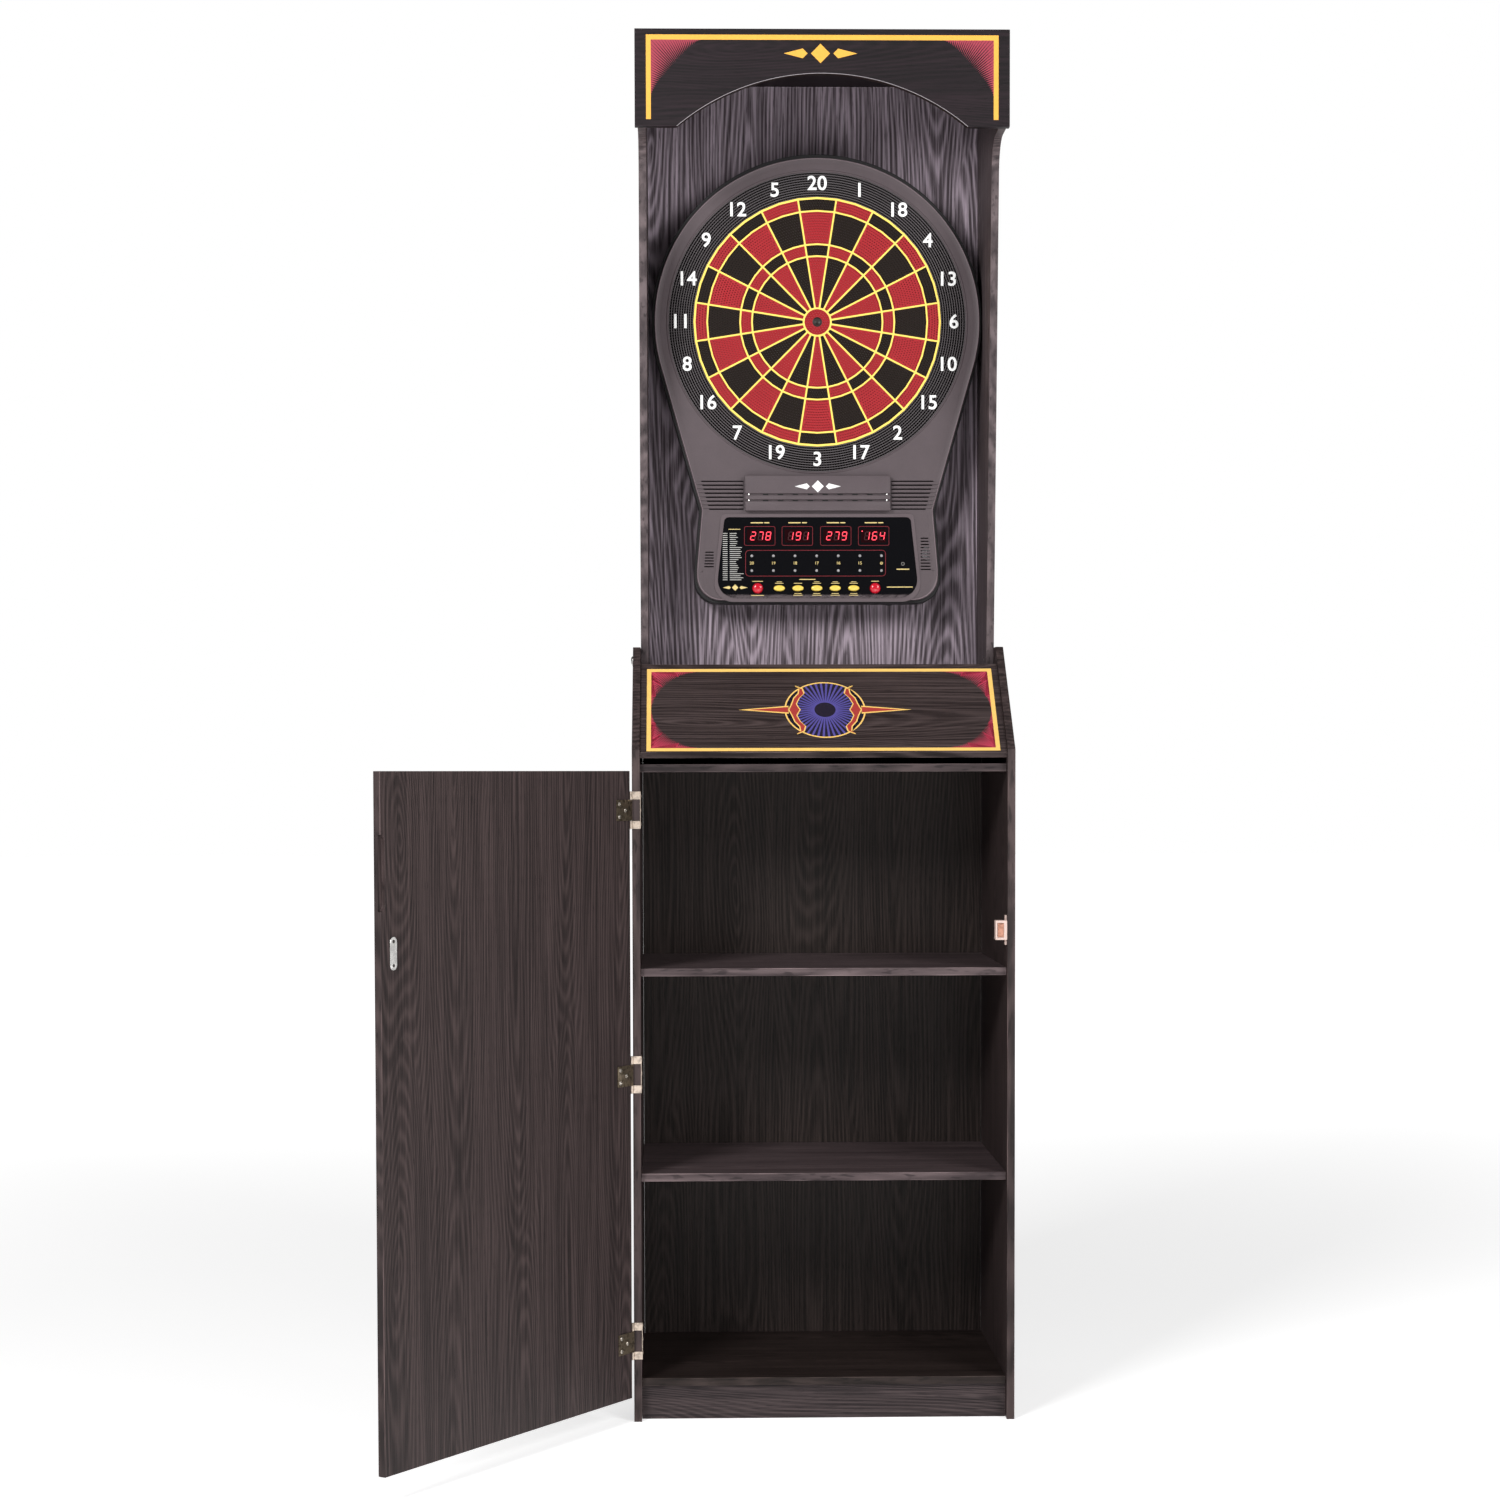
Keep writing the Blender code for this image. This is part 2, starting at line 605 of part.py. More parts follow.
def housings():
    """The front and rear shells of the head, which meet edge to edge."""
    front = flat_shape("front_housing", [head_outline()], HOUSING_DEPTH, on_head(HOUSING_DEPTH / 2),
                       PLASTIC_LOOK)
    hollow = flat_shape("front_hollow", [head_outline(WALL)], HOUSING_DEPTH,
                        on_head(HOUSING_DEPTH / 2 + WALL))
    boolean(front, hollow)
    boolean(front, flat_shape("window_opening", [window_outline()], 4 * WALL, on_head(0)))
    opening = cylinder("target_opening", head_place(0, 0, 0), NUMBER_RADIUS + GAP, 4 * WALL, "Y", sides=80)
    boolean(front, opening)
    rear_length = REAR_DEPTH - HOUSING_DEPTH - GAP
    middle = (REAR_DEPTH + HOUSING_DEPTH + GAP) / 2
    rear = flat_shape("rear_housing", [head_outline(REAR_INSET)], rear_length, on_head(middle), BLACK_LOOK)
    hollow = flat_shape("rear_hollow", [head_outline(REAR_INSET + WALL)], rear_length,
                        on_head(middle - WALL))
    boolean(rear, hollow)
    dc_inlet(rear)


def dc_inlet(rear):
    """The round low-voltage socket in the rear shell's underside."""
    base = FOOT[1] + REAR_INSET
    opening = cylinder("inlet_opening", head_place(INLET_X, INLET_DEPTH, base), INLET_HOLE, 4 * WALL, "Z",
                       sides=20)
    boolean(rear, opening)
    middle = base - INLET_PROUD + INLET_LENGTH / 2
    socket = cylinder("dc_inlet", head_place(INLET_X, INLET_DEPTH, middle), INLET_RADIUS, INLET_LENGTH,
                      "Z", BLACK_LOOK, sides=20)
    middle = base + WALL + GAP + COLLAR_LENGTH / 2
    collar = cylinder("inlet_collar", head_place(INLET_X, INLET_DEPTH, middle), COLLAR_RADIUS,
                      COLLAR_LENGTH, "Z", sides=20)
    boolean(socket, collar, "UNION")
    boolean(socket, cylinder("inlet_bore", head_place(INLET_X, INLET_DEPTH, base), INLET_BORE,
                             INLET_BORE_LENGTH, "Z", sides=12))


def sector(inner, outer, middle, half_rib):
    """One scoring bed between two wires, with straight sides parallel to its ribs."""
    points = []
    for radius, way in ((inner, -1), (outer, 1)):
        half = math.radians(180 / SECTORS) - math.asin(half_rib / radius)
        for share in (-1, 0, 1):
            angle = math.radians(middle) + way * share * half
            points.append((radius * math.cos(angle), radius * math.sin(angle)))
    return points


def sector_middles():
    """The middle angle of each of the twenty sectors, from the top round to the right."""
    return [90 - index * 360 / SECTORS for index in range(SECTORS)]


def target():
    """The number ring, the spider and the segments that sit in it, in four joined rings."""
    middle = (0, 0)
    number = [circle(middle, NUMBER_RADIUS, 80), circle(middle, TARGET_RADIUS + SPIDER_RIM + GAP, 80)]
    flat_shape("number_ring", number, RING_THICKNESS, on_head(RING_FRONT + RING_THICKNESS / 2), BLACK_LOOK)
    outlines = [circle(middle, TARGET_RADIUS + SPIDER_RIM, 2 * SECTORS)]
    for inner, outer in BANDS.values():
        for angle in sector_middles():
            outlines.append(sector(inner + RIB / 2, outer - RIB / 2, angle, RIB / 2))
    outlines.append(circle(middle, BULL_OUTER + PAD_CLEARANCE, 20))
    flat_shape("spider_grid", outlines, SPIDER_DEPTH, on_head(SPIDER_DEPTH / 2), (YELLOW, 0.5, 0.0))
    for name, (inner, outer) in BANDS.items():
        segment_ring(name, inner, outer)
    bull()


def segment_ring(name, inner, outer):
    """Twenty segments of one band, on the web that joins them behind the spider."""
    web = [circle((0, 0), outer - WEB_EDGE, 2 * SECTORS), circle((0, 0), inner + WEB_EDGE, 2 * SECTORS)]
    ring = flat_shape(name, web, WEB_BACK - WEB_FRONT, on_head((WEB_FRONT + WEB_BACK) / 2), (RED, 0.5, 0.0))
    half_rib = RIB / 2 + PAD_CLEARANCE
    pads = [sector(inner + half_rib, outer - half_rib, middle, half_rib) for middle in sector_middles()]
    tops = flat_shape("pads", pads, PAD_BACK - PAD_FRONT, on_head((PAD_FRONT + PAD_BACK) / 2))
    boolean(ring, tops, "UNION")


def bull():
    """The outer bull with its rear flange, and the inner bull inside it."""
    bore = circle((0, 0), BULL_INNER + PAD_CLEARANCE, 16)
    outer = flat_shape("single_bull", [circle((0, 0), BULL_OUTER, 20), bore], WEB_BACK,
                       on_head(WEB_BACK / 2), (RED, 0.5, 0.0))
    flange = flat_shape("bull_flange", [circle((0, 0), BULL_OUTER + BULL_FLANGE, 20), bore],
                        WEB_BACK - WEB_FRONT, on_head((WEB_FRONT + WEB_BACK) / 2))
    boolean(outer, flange, "UNION")
    cylinder("double_bull", head_place(0, WEB_BACK / 2, 0), BULL_INNER, WEB_BACK, "Y", BLACK_LOOK, sides=16)


def electronics():
    """What lies behind the target and the window: sensor sheet, foam, board, displays, speaker."""
    for name, front, thickness, roughness in (
            ("sensor_membrane", MEMBRANE_FRONT, MEMBRANE_THICKNESS, 0.3),
            ("foam_pad", FOAM_FRONT, FOAM_THICKNESS, 0.9)):
        cylinder(name, head_place(0, front + thickness / 2, 0), TARGET_RADIUS, thickness, "Y",
                 (FOAM, roughness, 0.0), sides=40)
    box("circuit_board", head_place(-BOARD_HALF, BOARD_DEPTHS[0], BOARD_HEIGHTS[0]),
        head_place(BOARD_HALF, BOARD_DEPTHS[1], BOARD_HEIGHTS[1]), (GREEN, 0.45, 0.0))
    half_x, half_z = DISPLAY_HALF
    for number, x in enumerate(DISPLAYS, start=1):
        box(f"led_display_{number}", head_place(x - half_x, DISPLAY_DEPTHS[0], -DISPLAY_DROP - half_z),
            head_place(x + half_x, DISPLAY_DEPTHS[1], -DISPLAY_DROP + half_z), BLACK_LOOK)
    cylinder("speaker", head_place(SPEAKER_X, SPEAKER_DEPTH, -SPEAKER_DROP), SPEAKER_RADIUS,
             SPEAKER_THICKNESS, "Y", METAL_LOOK, sides=20)


def oval(centre, length, height, steps=16):
    """Points round an ellipse."""
    outline = []
    for step in range(steps):
        angle = 2 * math.pi * step / steps
        outline.append((centre[0] + length / 2 * math.cos(angle), centre[1] + height / 2 * math.sin(angle)))
    return outline


def window_and_buttons():
    """The display window with a hole for each button, and the buttons with their retaining flanges."""
    caps = {}
    for index, x in enumerate(RED_BUTTONS, start=1):
        caps[f"red_button_{index}"] = (x, 2 * RED_RADIUS, 2 * RED_RADIUS, RED)
    for index, x in enumerate(YELLOW_BUTTONS, start=1):
        caps[f"yellow_button_{index}"] = (x, YELLOW_LENGTH, YELLOW_HEIGHT, YELLOW)
    outlines = [window_outline(GAP)]
    room = 2 * BUTTON_CLEARANCE
    for x, length, height, _ in caps.values():
        outlines.append(oval((x, -BUTTON_DROP), length + room, height + room))
    flat_shape("display_window", outlines, WINDOW_THICKNESS, on_head(WINDOW_FRONT + WINDOW_THICKNESS / 2),
               (BLACK, 0.08, 0.0))
    wider = 2 * FLANGE_WIDTH
    for name, (x, length, height, colour) in caps.items():
        button = flat_shape(name, [oval((x, -BUTTON_DROP), length, height)], BUTTON_BACK + BUTTON_PROUD,
                            on_head((BUTTON_BACK - BUTTON_PROUD) / 2), (colour, 0.35, 0.0))
        flange = flat_shape("flange", [oval((x, -BUTTON_DROP), length + wider, height + wider)],
                            FLANGE_THICKNESS, on_head(FLANGE_FRONT + FLANGE_THICKNESS / 2))
        boolean(button, flange, "UNION")


def dart_holder():
    """The block under the target that spare darts stand in."""
    low, high = HOLDER_HEIGHTS
    corners = [(-HOLDER_HALF, low), (HOLDER_HALF, low), (HOLDER_HALF, high), (-HOLDER_HALF, high)]
    outline = rounded(corners, [HOLDER_RADIUS] * 4, 3)
    flat_shape("dart_holder", [outline], HOLDER_THICKNESS, on_head(-GAP - HOLDER_THICKNESS / 2),
               PLASTIC_LOOK)


lower_cabinet()
upper_cabinet()
cabinet_bolts()
door()
magnetic_catch()
housings()
target()
electronics()
window_and_buttons()
dart_holder()
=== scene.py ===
"""Looks of the electronic dartboard in its floor-standing cabinet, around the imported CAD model.

Metres, +Z up, +Y towards the wall behind.  Measures on the dart head are taken from its bull:
X to the right, Z up, and depth back from the housing's face.
"""

import math
import random

import bmesh
import bpy
from mathutils import Matrix, Vector


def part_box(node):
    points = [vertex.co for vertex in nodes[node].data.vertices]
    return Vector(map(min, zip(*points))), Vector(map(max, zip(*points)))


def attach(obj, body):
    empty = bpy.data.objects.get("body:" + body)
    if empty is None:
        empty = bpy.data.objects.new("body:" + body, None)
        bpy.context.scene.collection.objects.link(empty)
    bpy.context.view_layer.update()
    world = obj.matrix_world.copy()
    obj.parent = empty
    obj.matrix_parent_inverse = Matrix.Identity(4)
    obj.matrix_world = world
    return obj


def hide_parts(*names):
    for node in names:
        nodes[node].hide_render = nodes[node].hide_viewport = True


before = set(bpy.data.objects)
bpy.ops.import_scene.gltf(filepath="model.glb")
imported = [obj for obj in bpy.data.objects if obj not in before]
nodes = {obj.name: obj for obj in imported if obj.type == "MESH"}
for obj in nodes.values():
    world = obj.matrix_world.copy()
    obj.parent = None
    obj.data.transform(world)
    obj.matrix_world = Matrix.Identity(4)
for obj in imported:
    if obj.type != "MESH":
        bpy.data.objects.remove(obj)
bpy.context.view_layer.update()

# ---- places taken from the frame ----
QUARTER = math.pi / 2
FACE_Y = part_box("front_housing")[0].y
HOUSING_BACK_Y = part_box("front_housing")[1].y
BULL_X = sum(corner.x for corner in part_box("double_bull")) / 2
BULL_Z = sum(corner.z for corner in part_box("double_bull")) / 2
NUMBER_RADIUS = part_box("number_ring")[1].x - BULL_X
SPIDER_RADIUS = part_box("spider_grid")[1].x - BULL_X
WINDOW_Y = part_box("display_window")[0].y
HEADER_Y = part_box("header_panel")[0].y
BUTTONS_Z = sum(corner.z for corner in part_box("red_button_1")) / 2 - BULL_Z

# ---- driving dimensions of the looks ----
DOOR_OPEN = math.radians(124.5)     # the door stands open this far at rest
HINGE_AXIS = Vector((-0.2958, -0.0298, 0.0))
STRIKE_PLACE = (0.2660, -0.0270, 0.7555)    # the strike plate's middle on the closed door
LEAF_BACK = -0.0269                 # the hinge leaves' face on the closed door
INK = 0.00012                       # thickness of a printed layer
BOARD_BEVEL = 0.0006
BORDER_X = (0.2613, 0.2686)         # the header's gold line, inner and outer edge
BORDER_Z = (1.9945, 2.1142, 2.1218)
ARCH = (0.222, 1.984, 2.064)        # half width, foot and top of the header's arch
CONSOLE_X = (0.2648, 0.2715)        # the console's gold line
CONSOLE_Z = (0.0030, 0.1895, 0.0066)    # its foot and top up the slope, and its width
DISC_RADIUS = 0.0610
DISC_LINE = 0.0022
DISC_EYE = 0.0165
DISC_RAYS = 44
FLAME = ((-0.90, 0.72, 0.75), (-0.80, 0.54, 0.66), (-0.62, 0.50, 0.68), (-0.44, 0.63, 0.80),
         (-0.22, 0.71, 0.86), (-0.11, 0.67, 0.90), (0.0, 0.62, 0.94), (0.11, 0.67, 0.90),
         (0.22, 0.71, 0.86), (0.44, 0.63, 0.80), (0.62, 0.50, 0.68), (0.80, 0.54, 0.66), (0.90, 0.72, 0.75))

SECTORS = 20
ORDER = (20, 1, 18, 4, 13, 6, 10, 15, 2, 17, 3, 19, 7, 16, 8, 11, 14, 9, 12, 5)
BANDS = {                           # inner and outer wire, body and CAD node of each scoring band
    "inner_singles": (0.0220, 0.1050, "inner_single_segments"),
    "triples": (0.1050, 0.1240, "triple_segments"),
    "outer_singles": (0.1240, 0.1770, "outer_single_segments"),
    "doubles": (0.1770, 0.1970, "double_segments"),
}
HALF_RIB = 0.0017                   # half a wire and the air beside it
BED_FRONT = 0.0004                  # segments' faces behind the housing's face
BED_BACK = 0.0104
BED_SKIN = 0.0030                   # how deep the holes go
LAP = 0.0001                        # how far a solid core reaches into the skin
HOLE_PITCH = 0.0040
HOLE_RADIUS = 0.00122
HOUSING_RADIUS = 0.2660
SHOULDER = -16                      # where the disc ends, in degrees
WAIST, HIP, FOOT_Z = (0.1907, -0.3004), (0.1990, -0.3952), -0.4500
CONSOLE_RADII = [0, 0.016, 0.060, 0.038]    # round the shoulder, waist, hip and foot
WINDOW_TOP, WINDOW_FOOT = (0.1500, -0.3122), (0.1645, -0.4430)
FLANGE_RISE = 0.0028                # the flange shows above the rim, and not below it
RING_TOP, RING_FLOOR, RING_BACK = 0.0014, 0.0064, 0.0078
RING_CIRCLES, RING_SPOKES = 11, 336
NUMERAL_RADIUS = 0.2200
NUMERAL_SIZE = 0.0316
GROOVES = [-0.2545 - 0.0064 * step for step in range(8)]
HOLDER_GROOVES = (BULL_Z - 0.2765, BULL_Z - 0.2862)

DISPLAYS = (-0.0932, -0.0326, 0.0294, 0.0906)
SCORES = ("278", "191", "279", "164")
DISPLAY_Z = -0.3422
YELLOW_BUTTONS = (-0.0618, -0.0317, -0.0013, 0.0284, 0.0583)
RED_BUTTONS = (-0.0967, 0.0930)
LAMP_COLUMNS = [-0.1061 + 0.0349 * step for step in range(7)]
LAMP_ROWS = (-0.3741, -0.3978)
LAMP_NUMBERS = ("20", "19", "18", "17", "16", "15")
INDICATOR = (0.1378, -0.3871)
LIST_ROWS = 24
WINDOW_INK = WINDOW_Y - FACE_Y - INK / 2    # depth of the middle of its ink
SEGMENTS_OF = {"1": "bc", "2": "abged", "4": "fgbc", "6": "afgcde", "7": "abc", "8": "abcdefg",
               "9": "abcdfg"}

AMBIENT = 0.13
KEY_POWER = 118.0
FILL_POWER = 70.0
LOW_POWER = 8.0
FLOOR_NEAR, FLOOR_FAR = 0.60, 0.97  # the floor's own light beside the cabinet and far from it

# ---- colours, linear ----
DOOR_WOOD = ((0.072, 0.050, 0.049), (0.020, 0.014, 0.014))
HEADER_WOOD = ((0.015, 0.008, 0.011), (0.005, 0.003, 0.004))
# painted shade: the back panel and the base take a darker copy of the cabinet's ash foil, standing in for
# the shade deep in the bays
BACK_WOOD_PAINTED_SHADE = ((0.046, 0.032, 0.029), (0.011, 0.007, 0.006))
CONSOLE_WOOD = ((0.074, 0.053, 0.052), (0.018, 0.012, 0.012))
SHELF_WOOD = ((0.140, 0.103, 0.106), (0.036, 0.025, 0.027))
RAIL_WOOD = ((0.066, 0.048, 0.049), (0.016, 0.011, 0.012))
SIDE_WOOD = ((0.130, 0.100, 0.104), (0.036, 0.027, 0.029))
ASH_WOOD = ((0.390, 0.320, 0.375), (0.066, 0.050, 0.059))
HEADER_GOLD = (0.790, 0.400, 0.050)
CONSOLE_GOLD = (1.000, 0.630, 0.170)
RAY_RED = (0.580, 0.050, 0.100)
BED_RED = (0.340, 0.012, 0.018)
BED_BLACK = (0.012, 0.007, 0.005)
WIRE_YELLOW = (0.960, 0.700, 0.140)
HOUSING_GREY = (0.082, 0.063, 0.069)
INK_BLUE = (0.095, 0.080, 0.330)
WHITE = (0.850, 0.850, 0.840)
LABEL_YELLOW = (0.700, 0.540, 0.210)
LED_RED = (1.000, 0.060, 0.095)


def toned(colour, share):
    """A colour made lighter or darker."""
    return tuple(share * part for part in colour)


# ---- node materials ----
class Field:
    """A node's output to reckon with: each operation on it adds one node to its tree."""

    def __init__(self, socket):
        self.socket = socket

    def node(self, kind, settings=None, **inputs):
        return put(self.socket.id_data, kind, settings, **inputs)

    def math(self, operation, *others):
        inputs = {f"_{place}": value for place, value in enumerate((self, *others))}
        return Field(self.node("Math", {"operation": operation}, **inputs).outputs[0])

    def __add__(self, other):
        return self.math("ADD", other)

    def __sub__(self, other):
        return self.math("SUBTRACT", other)

    def __rsub__(self, other):
        return self * -1.0 + other

    def __mul__(self, other):
        return self.math("MULTIPLY", other)

    def __pow__(self, other):
        return self.math("POWER", other)

    def along(self, axis):
        """How far a place lies along an axis."""
        node = self.node("VectorMath", {"operation": "DOT_PRODUCT"}, _0=self, _1=tuple(axis))
        return Field(node.outputs["Value"])

    def noise(self, scale, detail=2.0, roughness=0.5):
        """A noise from 0 to 1 at a place; three scales stretch it."""
        place = self
        if isinstance(scale, tuple):
            node = self.node("VectorMath", {"operation": "MULTIPLY"}, _0=self, _1=scale)
            place, scale = Field(node.outputs[0]), 1.0
        node = self.node("TexNoise", Vector=place, Scale=scale, Detail=detail, Roughness=roughness)
        return Field(node.outputs["Fac"])

    def ramp(self, low, high):
        """Taken smoothly from 0 at low to 1 at high."""
        settings = {"interpolation_type": "SMOOTHSTEP"}
        return Field(self.node("MapRange", settings, Value=self, From_Min=low, From_Max=high).outputs[0])

    def blend(self, first, second):
        """The first colour at 0, the second at 1."""
        first, second = [(*end, 1.0) if isinstance(end, tuple) else end for end in (first, second)]
        return Field(self.node("Mix", {"data_type": "RGBA"}, _0=self, _6=first, _7=second).outputs[2])

    def tint(self, colour):
        """A colour times this."""
        node = self.node("VectorMath", {"operation": "SCALE"}, _0=colour, Scale=self)
        return Field(node.outputs[0])


def put(tree, kind, settings=None, **inputs):
    """A new shader node."""
    node = tree.nodes.new("ShaderNode" + kind)
    for key, value in (settings or {}).items():
        setattr(node, key, value)
    feed(node, **inputs)
    return node


def feed(node, **inputs):
    """Give sockets, called by their name or _number, a number, a colour or another node's output."""
    for key, value in inputs.items():
        socket = node.inputs[int(key[1:]) if key[0] == "_" else key.replace("_", " ")]
        if isinstance(value, Field):
            node.id_data.links.new(value.socket, socket)
        else:
            socket.default_value = value


def begun(name):
    """A new material, its shader, and the object's own coordinates."""
    made = bpy.data.materials.new(name)
    made.use_nodes = True
    tree = made.node_tree
    tree.nodes.clear()
    shader = put(tree, "BsdfPrincipled")
    put(tree, "OutputMaterial", Surface=Field(shader.outputs[0]))
    return made, shader, Field(put(tree, "TexCoord").outputs["Object"])


def bump(shader, height, distance, strength):
    """Drive the shader's normal from a height."""
    node = height.node("Bump", Height=height, Distance=distance, Strength=strength)
    feed(shader, Normal=Field(node.outputs[0]))


def axes_of(obj, across, along):
    """The two grain directions of a board, the third one, and its extent along each."""
    across = Vector(across).normalized()
    along = Vector(along).normalized()
    axes = (across, along, across.cross(along))
    extents = []
    for axis in axes:
        places = [vertex.co.dot(axis) for vertex in obj.data.vertices]
        extents.append((min(places), max(places)))
    return axes, extents


def wood(obj, across, along, colours, figure, pitch, shift, streaks=0.0, roughness=0.52, contrast=0.55):
    """Foil-laminated ash for one board: straight grain, long cathedral figures, pores, long edges lightened
    as worn foil and painted highlight.
    """
    light, dark = colours
    made, shader, place = begun(obj.name + "_ash")
    axes, extents = axes_of(obj, across, along)
    spots = [place.along(axis) for axis in axes]
    u, v, w = spots
    grain = Field(place.node("CombineXYZ", _0=u, _1=v, _2=w + shift).outputs[0])
    wander = grain.noise((6.0, 0.9, 3.0)) * 0.085 + shift
    waver = grain.noise((60.0, 6.0, 8.0))
    side = (u + wander + waver * 0.0030).math("PINGPONG", figure)
    rise = (grain.noise((5.0, 0.8, 2.0), 1.0) * 2.6 + v).math("PINGPONG", 0.55) * 0.085 + 0.003
    ring = (side ** 2.0 + rise ** 2.0).math("SQRT").math("DIVIDE", pitch)
    ring = ring + waver * 0.3 + grain.noise((34.0, 0.7, 6.0)) * 1.5
    wave = ((ring * math.tau).math("SINE") * 0.5 + 0.5) ** 1.6
    broken = grain.noise((70.0, 2.5, 9.0), 3.0).ramp(0.36, 0.62)
    wave = wave * (broken * 0.35 + 0.65)
    fibre = grain.noise((430.0, 7.0, 90.0), 3.0, 0.65)
    thread = grain.noise((260.0, 3.0, 60.0)).ramp(0.40, 0.62)
    broad = grain.noise((20.0, 1.1, 6.0), 3.0)
    pores = grain.noise((1100.0, 42.0, 200.0), 1.0).ramp(0.58, 0.70) * (1.0 - wave * 0.7)
    tone = wave * contrast + (0.5 - 0.42 * contrast)
    tone = tone + (fibre * 1.5 - 0.75) + (thread * 0.40 - 0.20) + (broad * 0.5 - 0.26)
    colour = Field(tone.node("Clamp", Value=tone).outputs[0]).blend(dark, light)
    if streaks:
        pale = grain.noise((150.0, 4.0, 20.0), 3.0).ramp(0.50, 0.66) * fibre.ramp(0.40, 0.60) * streaks
        colour = pale.blend(colour, toned(light, 1.45))
    colour = (pores * 0.70).blend(colour, toned(dark, 0.55))
    # partly wear, partly painted highlight: the long edges lightened towards 1.9 times the light tone
    colour = edge_wear(spots, extents, fibre).blend(colour, toned(light, 1.9))
    feed(shader, Base_Color=colour, Roughness=fibre * 0.16 + (roughness - 0.08), Specular_IOR_Level=0.20)
    bump(shader, wave * 0.45 + fibre * 0.7 - pores * 0.9, 0.00022, 0.55)
    return made


def edge_wear(spots, extents, fibre):
    """How much lighter a board's long edges are painted, only within a millimetre of them: partly worn
    foil, partly painted highlight.
    """
    reach = []
    for spot, (low, high) in zip(spots, extents):
        reach.append((spot - low).math("MINIMUM", high - spot).math("ABSOLUTE"))
    low = reach[0].math("MINIMUM", reach[1])
    high = reach[0].math("MAXIMUM", reach[1])
    second = low.math("MAXIMUM", high.math("MINIMUM", reach[2]))
    return (1.0 - second.ramp(0.0003, 0.0014)) * fibre.ramp(0.42, 0.66)


def moulded(name, colour, roughness=0.45, grain=0.0001, size=900.0, mottle=0.10, coat=0.0, shine=0.3):
    """Moulded plastic: fine spark texture, slight mottling and rub marks."""
    made, shader, place = begun(name)
    fine = place.noise(size, 3.0, 0.6)
    cloud = place.noise(26.0, 4.0, 0.6)
    rubbed = place.noise((60.0, 60.0, 14.0), 4.0, 0.7).ramp(0.58, 0.80)
    tone = (cloud * (2 * mottle) + (1.0 - mottle)) * (fine * 0.24 + 0.88)
    feed(shader, Base_Color=tone.tint(colour), Roughness=fine * 0.14 + (roughness - 0.07) - rubbed * 0.10,
         Specular_IOR_Level=shine, Coat_Weight=coat)
    bump(shader, fine, grain, 0.6)
    return made


def printed(name, colour, roughness=0.42):
    """Screen-printed ink: slightly uneven cover over the grain below."""
    made, shader, place = begun(name)
    cover = place.noise(300.0, 3.0, 0.6)
    tone = cover * 0.16 + place.noise(40.0, 3.0) * 0.14 + 0.79
    feed(shader, Base_Color=tone.tint(colour), Roughness=cover * 0.16 + (roughness - 0.08))
    bump(shader, cover, 0.00004, 0.5)
    return made


def metal(name, colour, roughness=0.32, stained=0.5):
    """Plated steel: brushed, with darker stains in places."""
    made, shader, place = begun(name)
    brushed = place.noise((120.0, 120.0, 2600.0), 3.0, 0.6)
    stain = place.noise(150.0, 4.0, 0.6).ramp(0.42, 0.68)
    tone = (1.0 - stain * stained) * (brushed * 0.30 + 0.85)
    feed(shader, Base_Color=tone.tint(colour), Metallic=1.0,
         Roughness=brushed * 0.18 + stain * 0.16 + (roughness - 0.09))
    bump(shader, brushed, 0.00003, 0.5)
    return made


def glossy(name, colour):
    """Polished acrylic: dust specks and faint wiping marks."""
    made, shader, place = begun(name)
    wiped = place.noise((30.0, 30.0, 120.0), 4.0, 0.65)
    dust = place.noise(1500.0, 1.0).ramp(0.74, 0.80)
    feed(shader, Base_Color=(dust * 0.10).blend(colour, (0.30, 0.29, 0.28)), Specular_IOR_Level=0.12,
         Roughness=wiped * 0.10 + dust * 0.3 + 0.05)
    bump(shader, wiped, 0.00002, 0.3)
    return made


def glowing(name, colour, strength):
    """A lit display segment, a little uneven across its face."""
    made, shader, place = begun(name)
    uneven = place.noise(420.0)
    base = (uneven * 0.5 + 0.75).tint(colour)
    feed(shader, Base_Color=base, Emission_Color=base, Emission_Strength=strength,
         Roughness=uneven * 0.1 + 0.25)
    return made


# ---- mesh helpers ----
def flat(outlines, thickness, matrix):
    """Flat outlines filled and extruded to both sides of their plane, turned by a matrix."""
    curve = bpy.data.curves.new("outline", "CURVE")
    curve.dimensions = "2D"
    curve.fill_mode = "BOTH"
    curve.extrude = thickness / 2
    for points in outlines:
        spline = curve.splines.new("POLY")
        spline.points.add(len(points) - 1)
        for place, point in zip(spline.points, points):
            place.co = (point[0], point[1], 0.0, 1.0)
        spline.use_cyclic_u = True
    return from_curve(curve, matrix)


def prisms(outlines, thickness, matrix):
    """Convex outlines as thin separate prisms, on both sides of their plane, turned by a matrix."""
    shape = bmesh.new()
    for points in outlines:
        rings = []
        for height in (-thickness / 2, thickness / 2):
            rings.append([shape.verts.new(matrix @ Vector((x, z, height))) for x, z in points])
        shape.faces.new(rings[0])
        shape.faces.new(rings[1])
        for index in range(len(points)):
            after = (index + 1) % len(points)
            shape.faces.new((rings[0][index], rings[0][after], rings[1][after], rings[1][index]))
    return finished(shape)


def from_curve(curve, matrix):
    """A curve or text as a closed mesh."""
    guide = bpy.data.objects.new("guide", curve)
    bpy.context.scene.collection.objects.link(guide)
    bpy.context.view_layer.update()
    mesh = bpy.data.meshes.new_from_object(guide.evaluated_get(bpy.context.evaluated_depsgraph_get()))
    bpy.data.objects.remove(guide)
    mesh.transform(matrix)
    shape = bmesh.new()
    shape.from_mesh(mesh)
    bpy.data.meshes.remove(mesh)
    bmesh.ops.remove_doubles(shape, verts=shape.verts, dist=1e-7)
    return finished(shape)


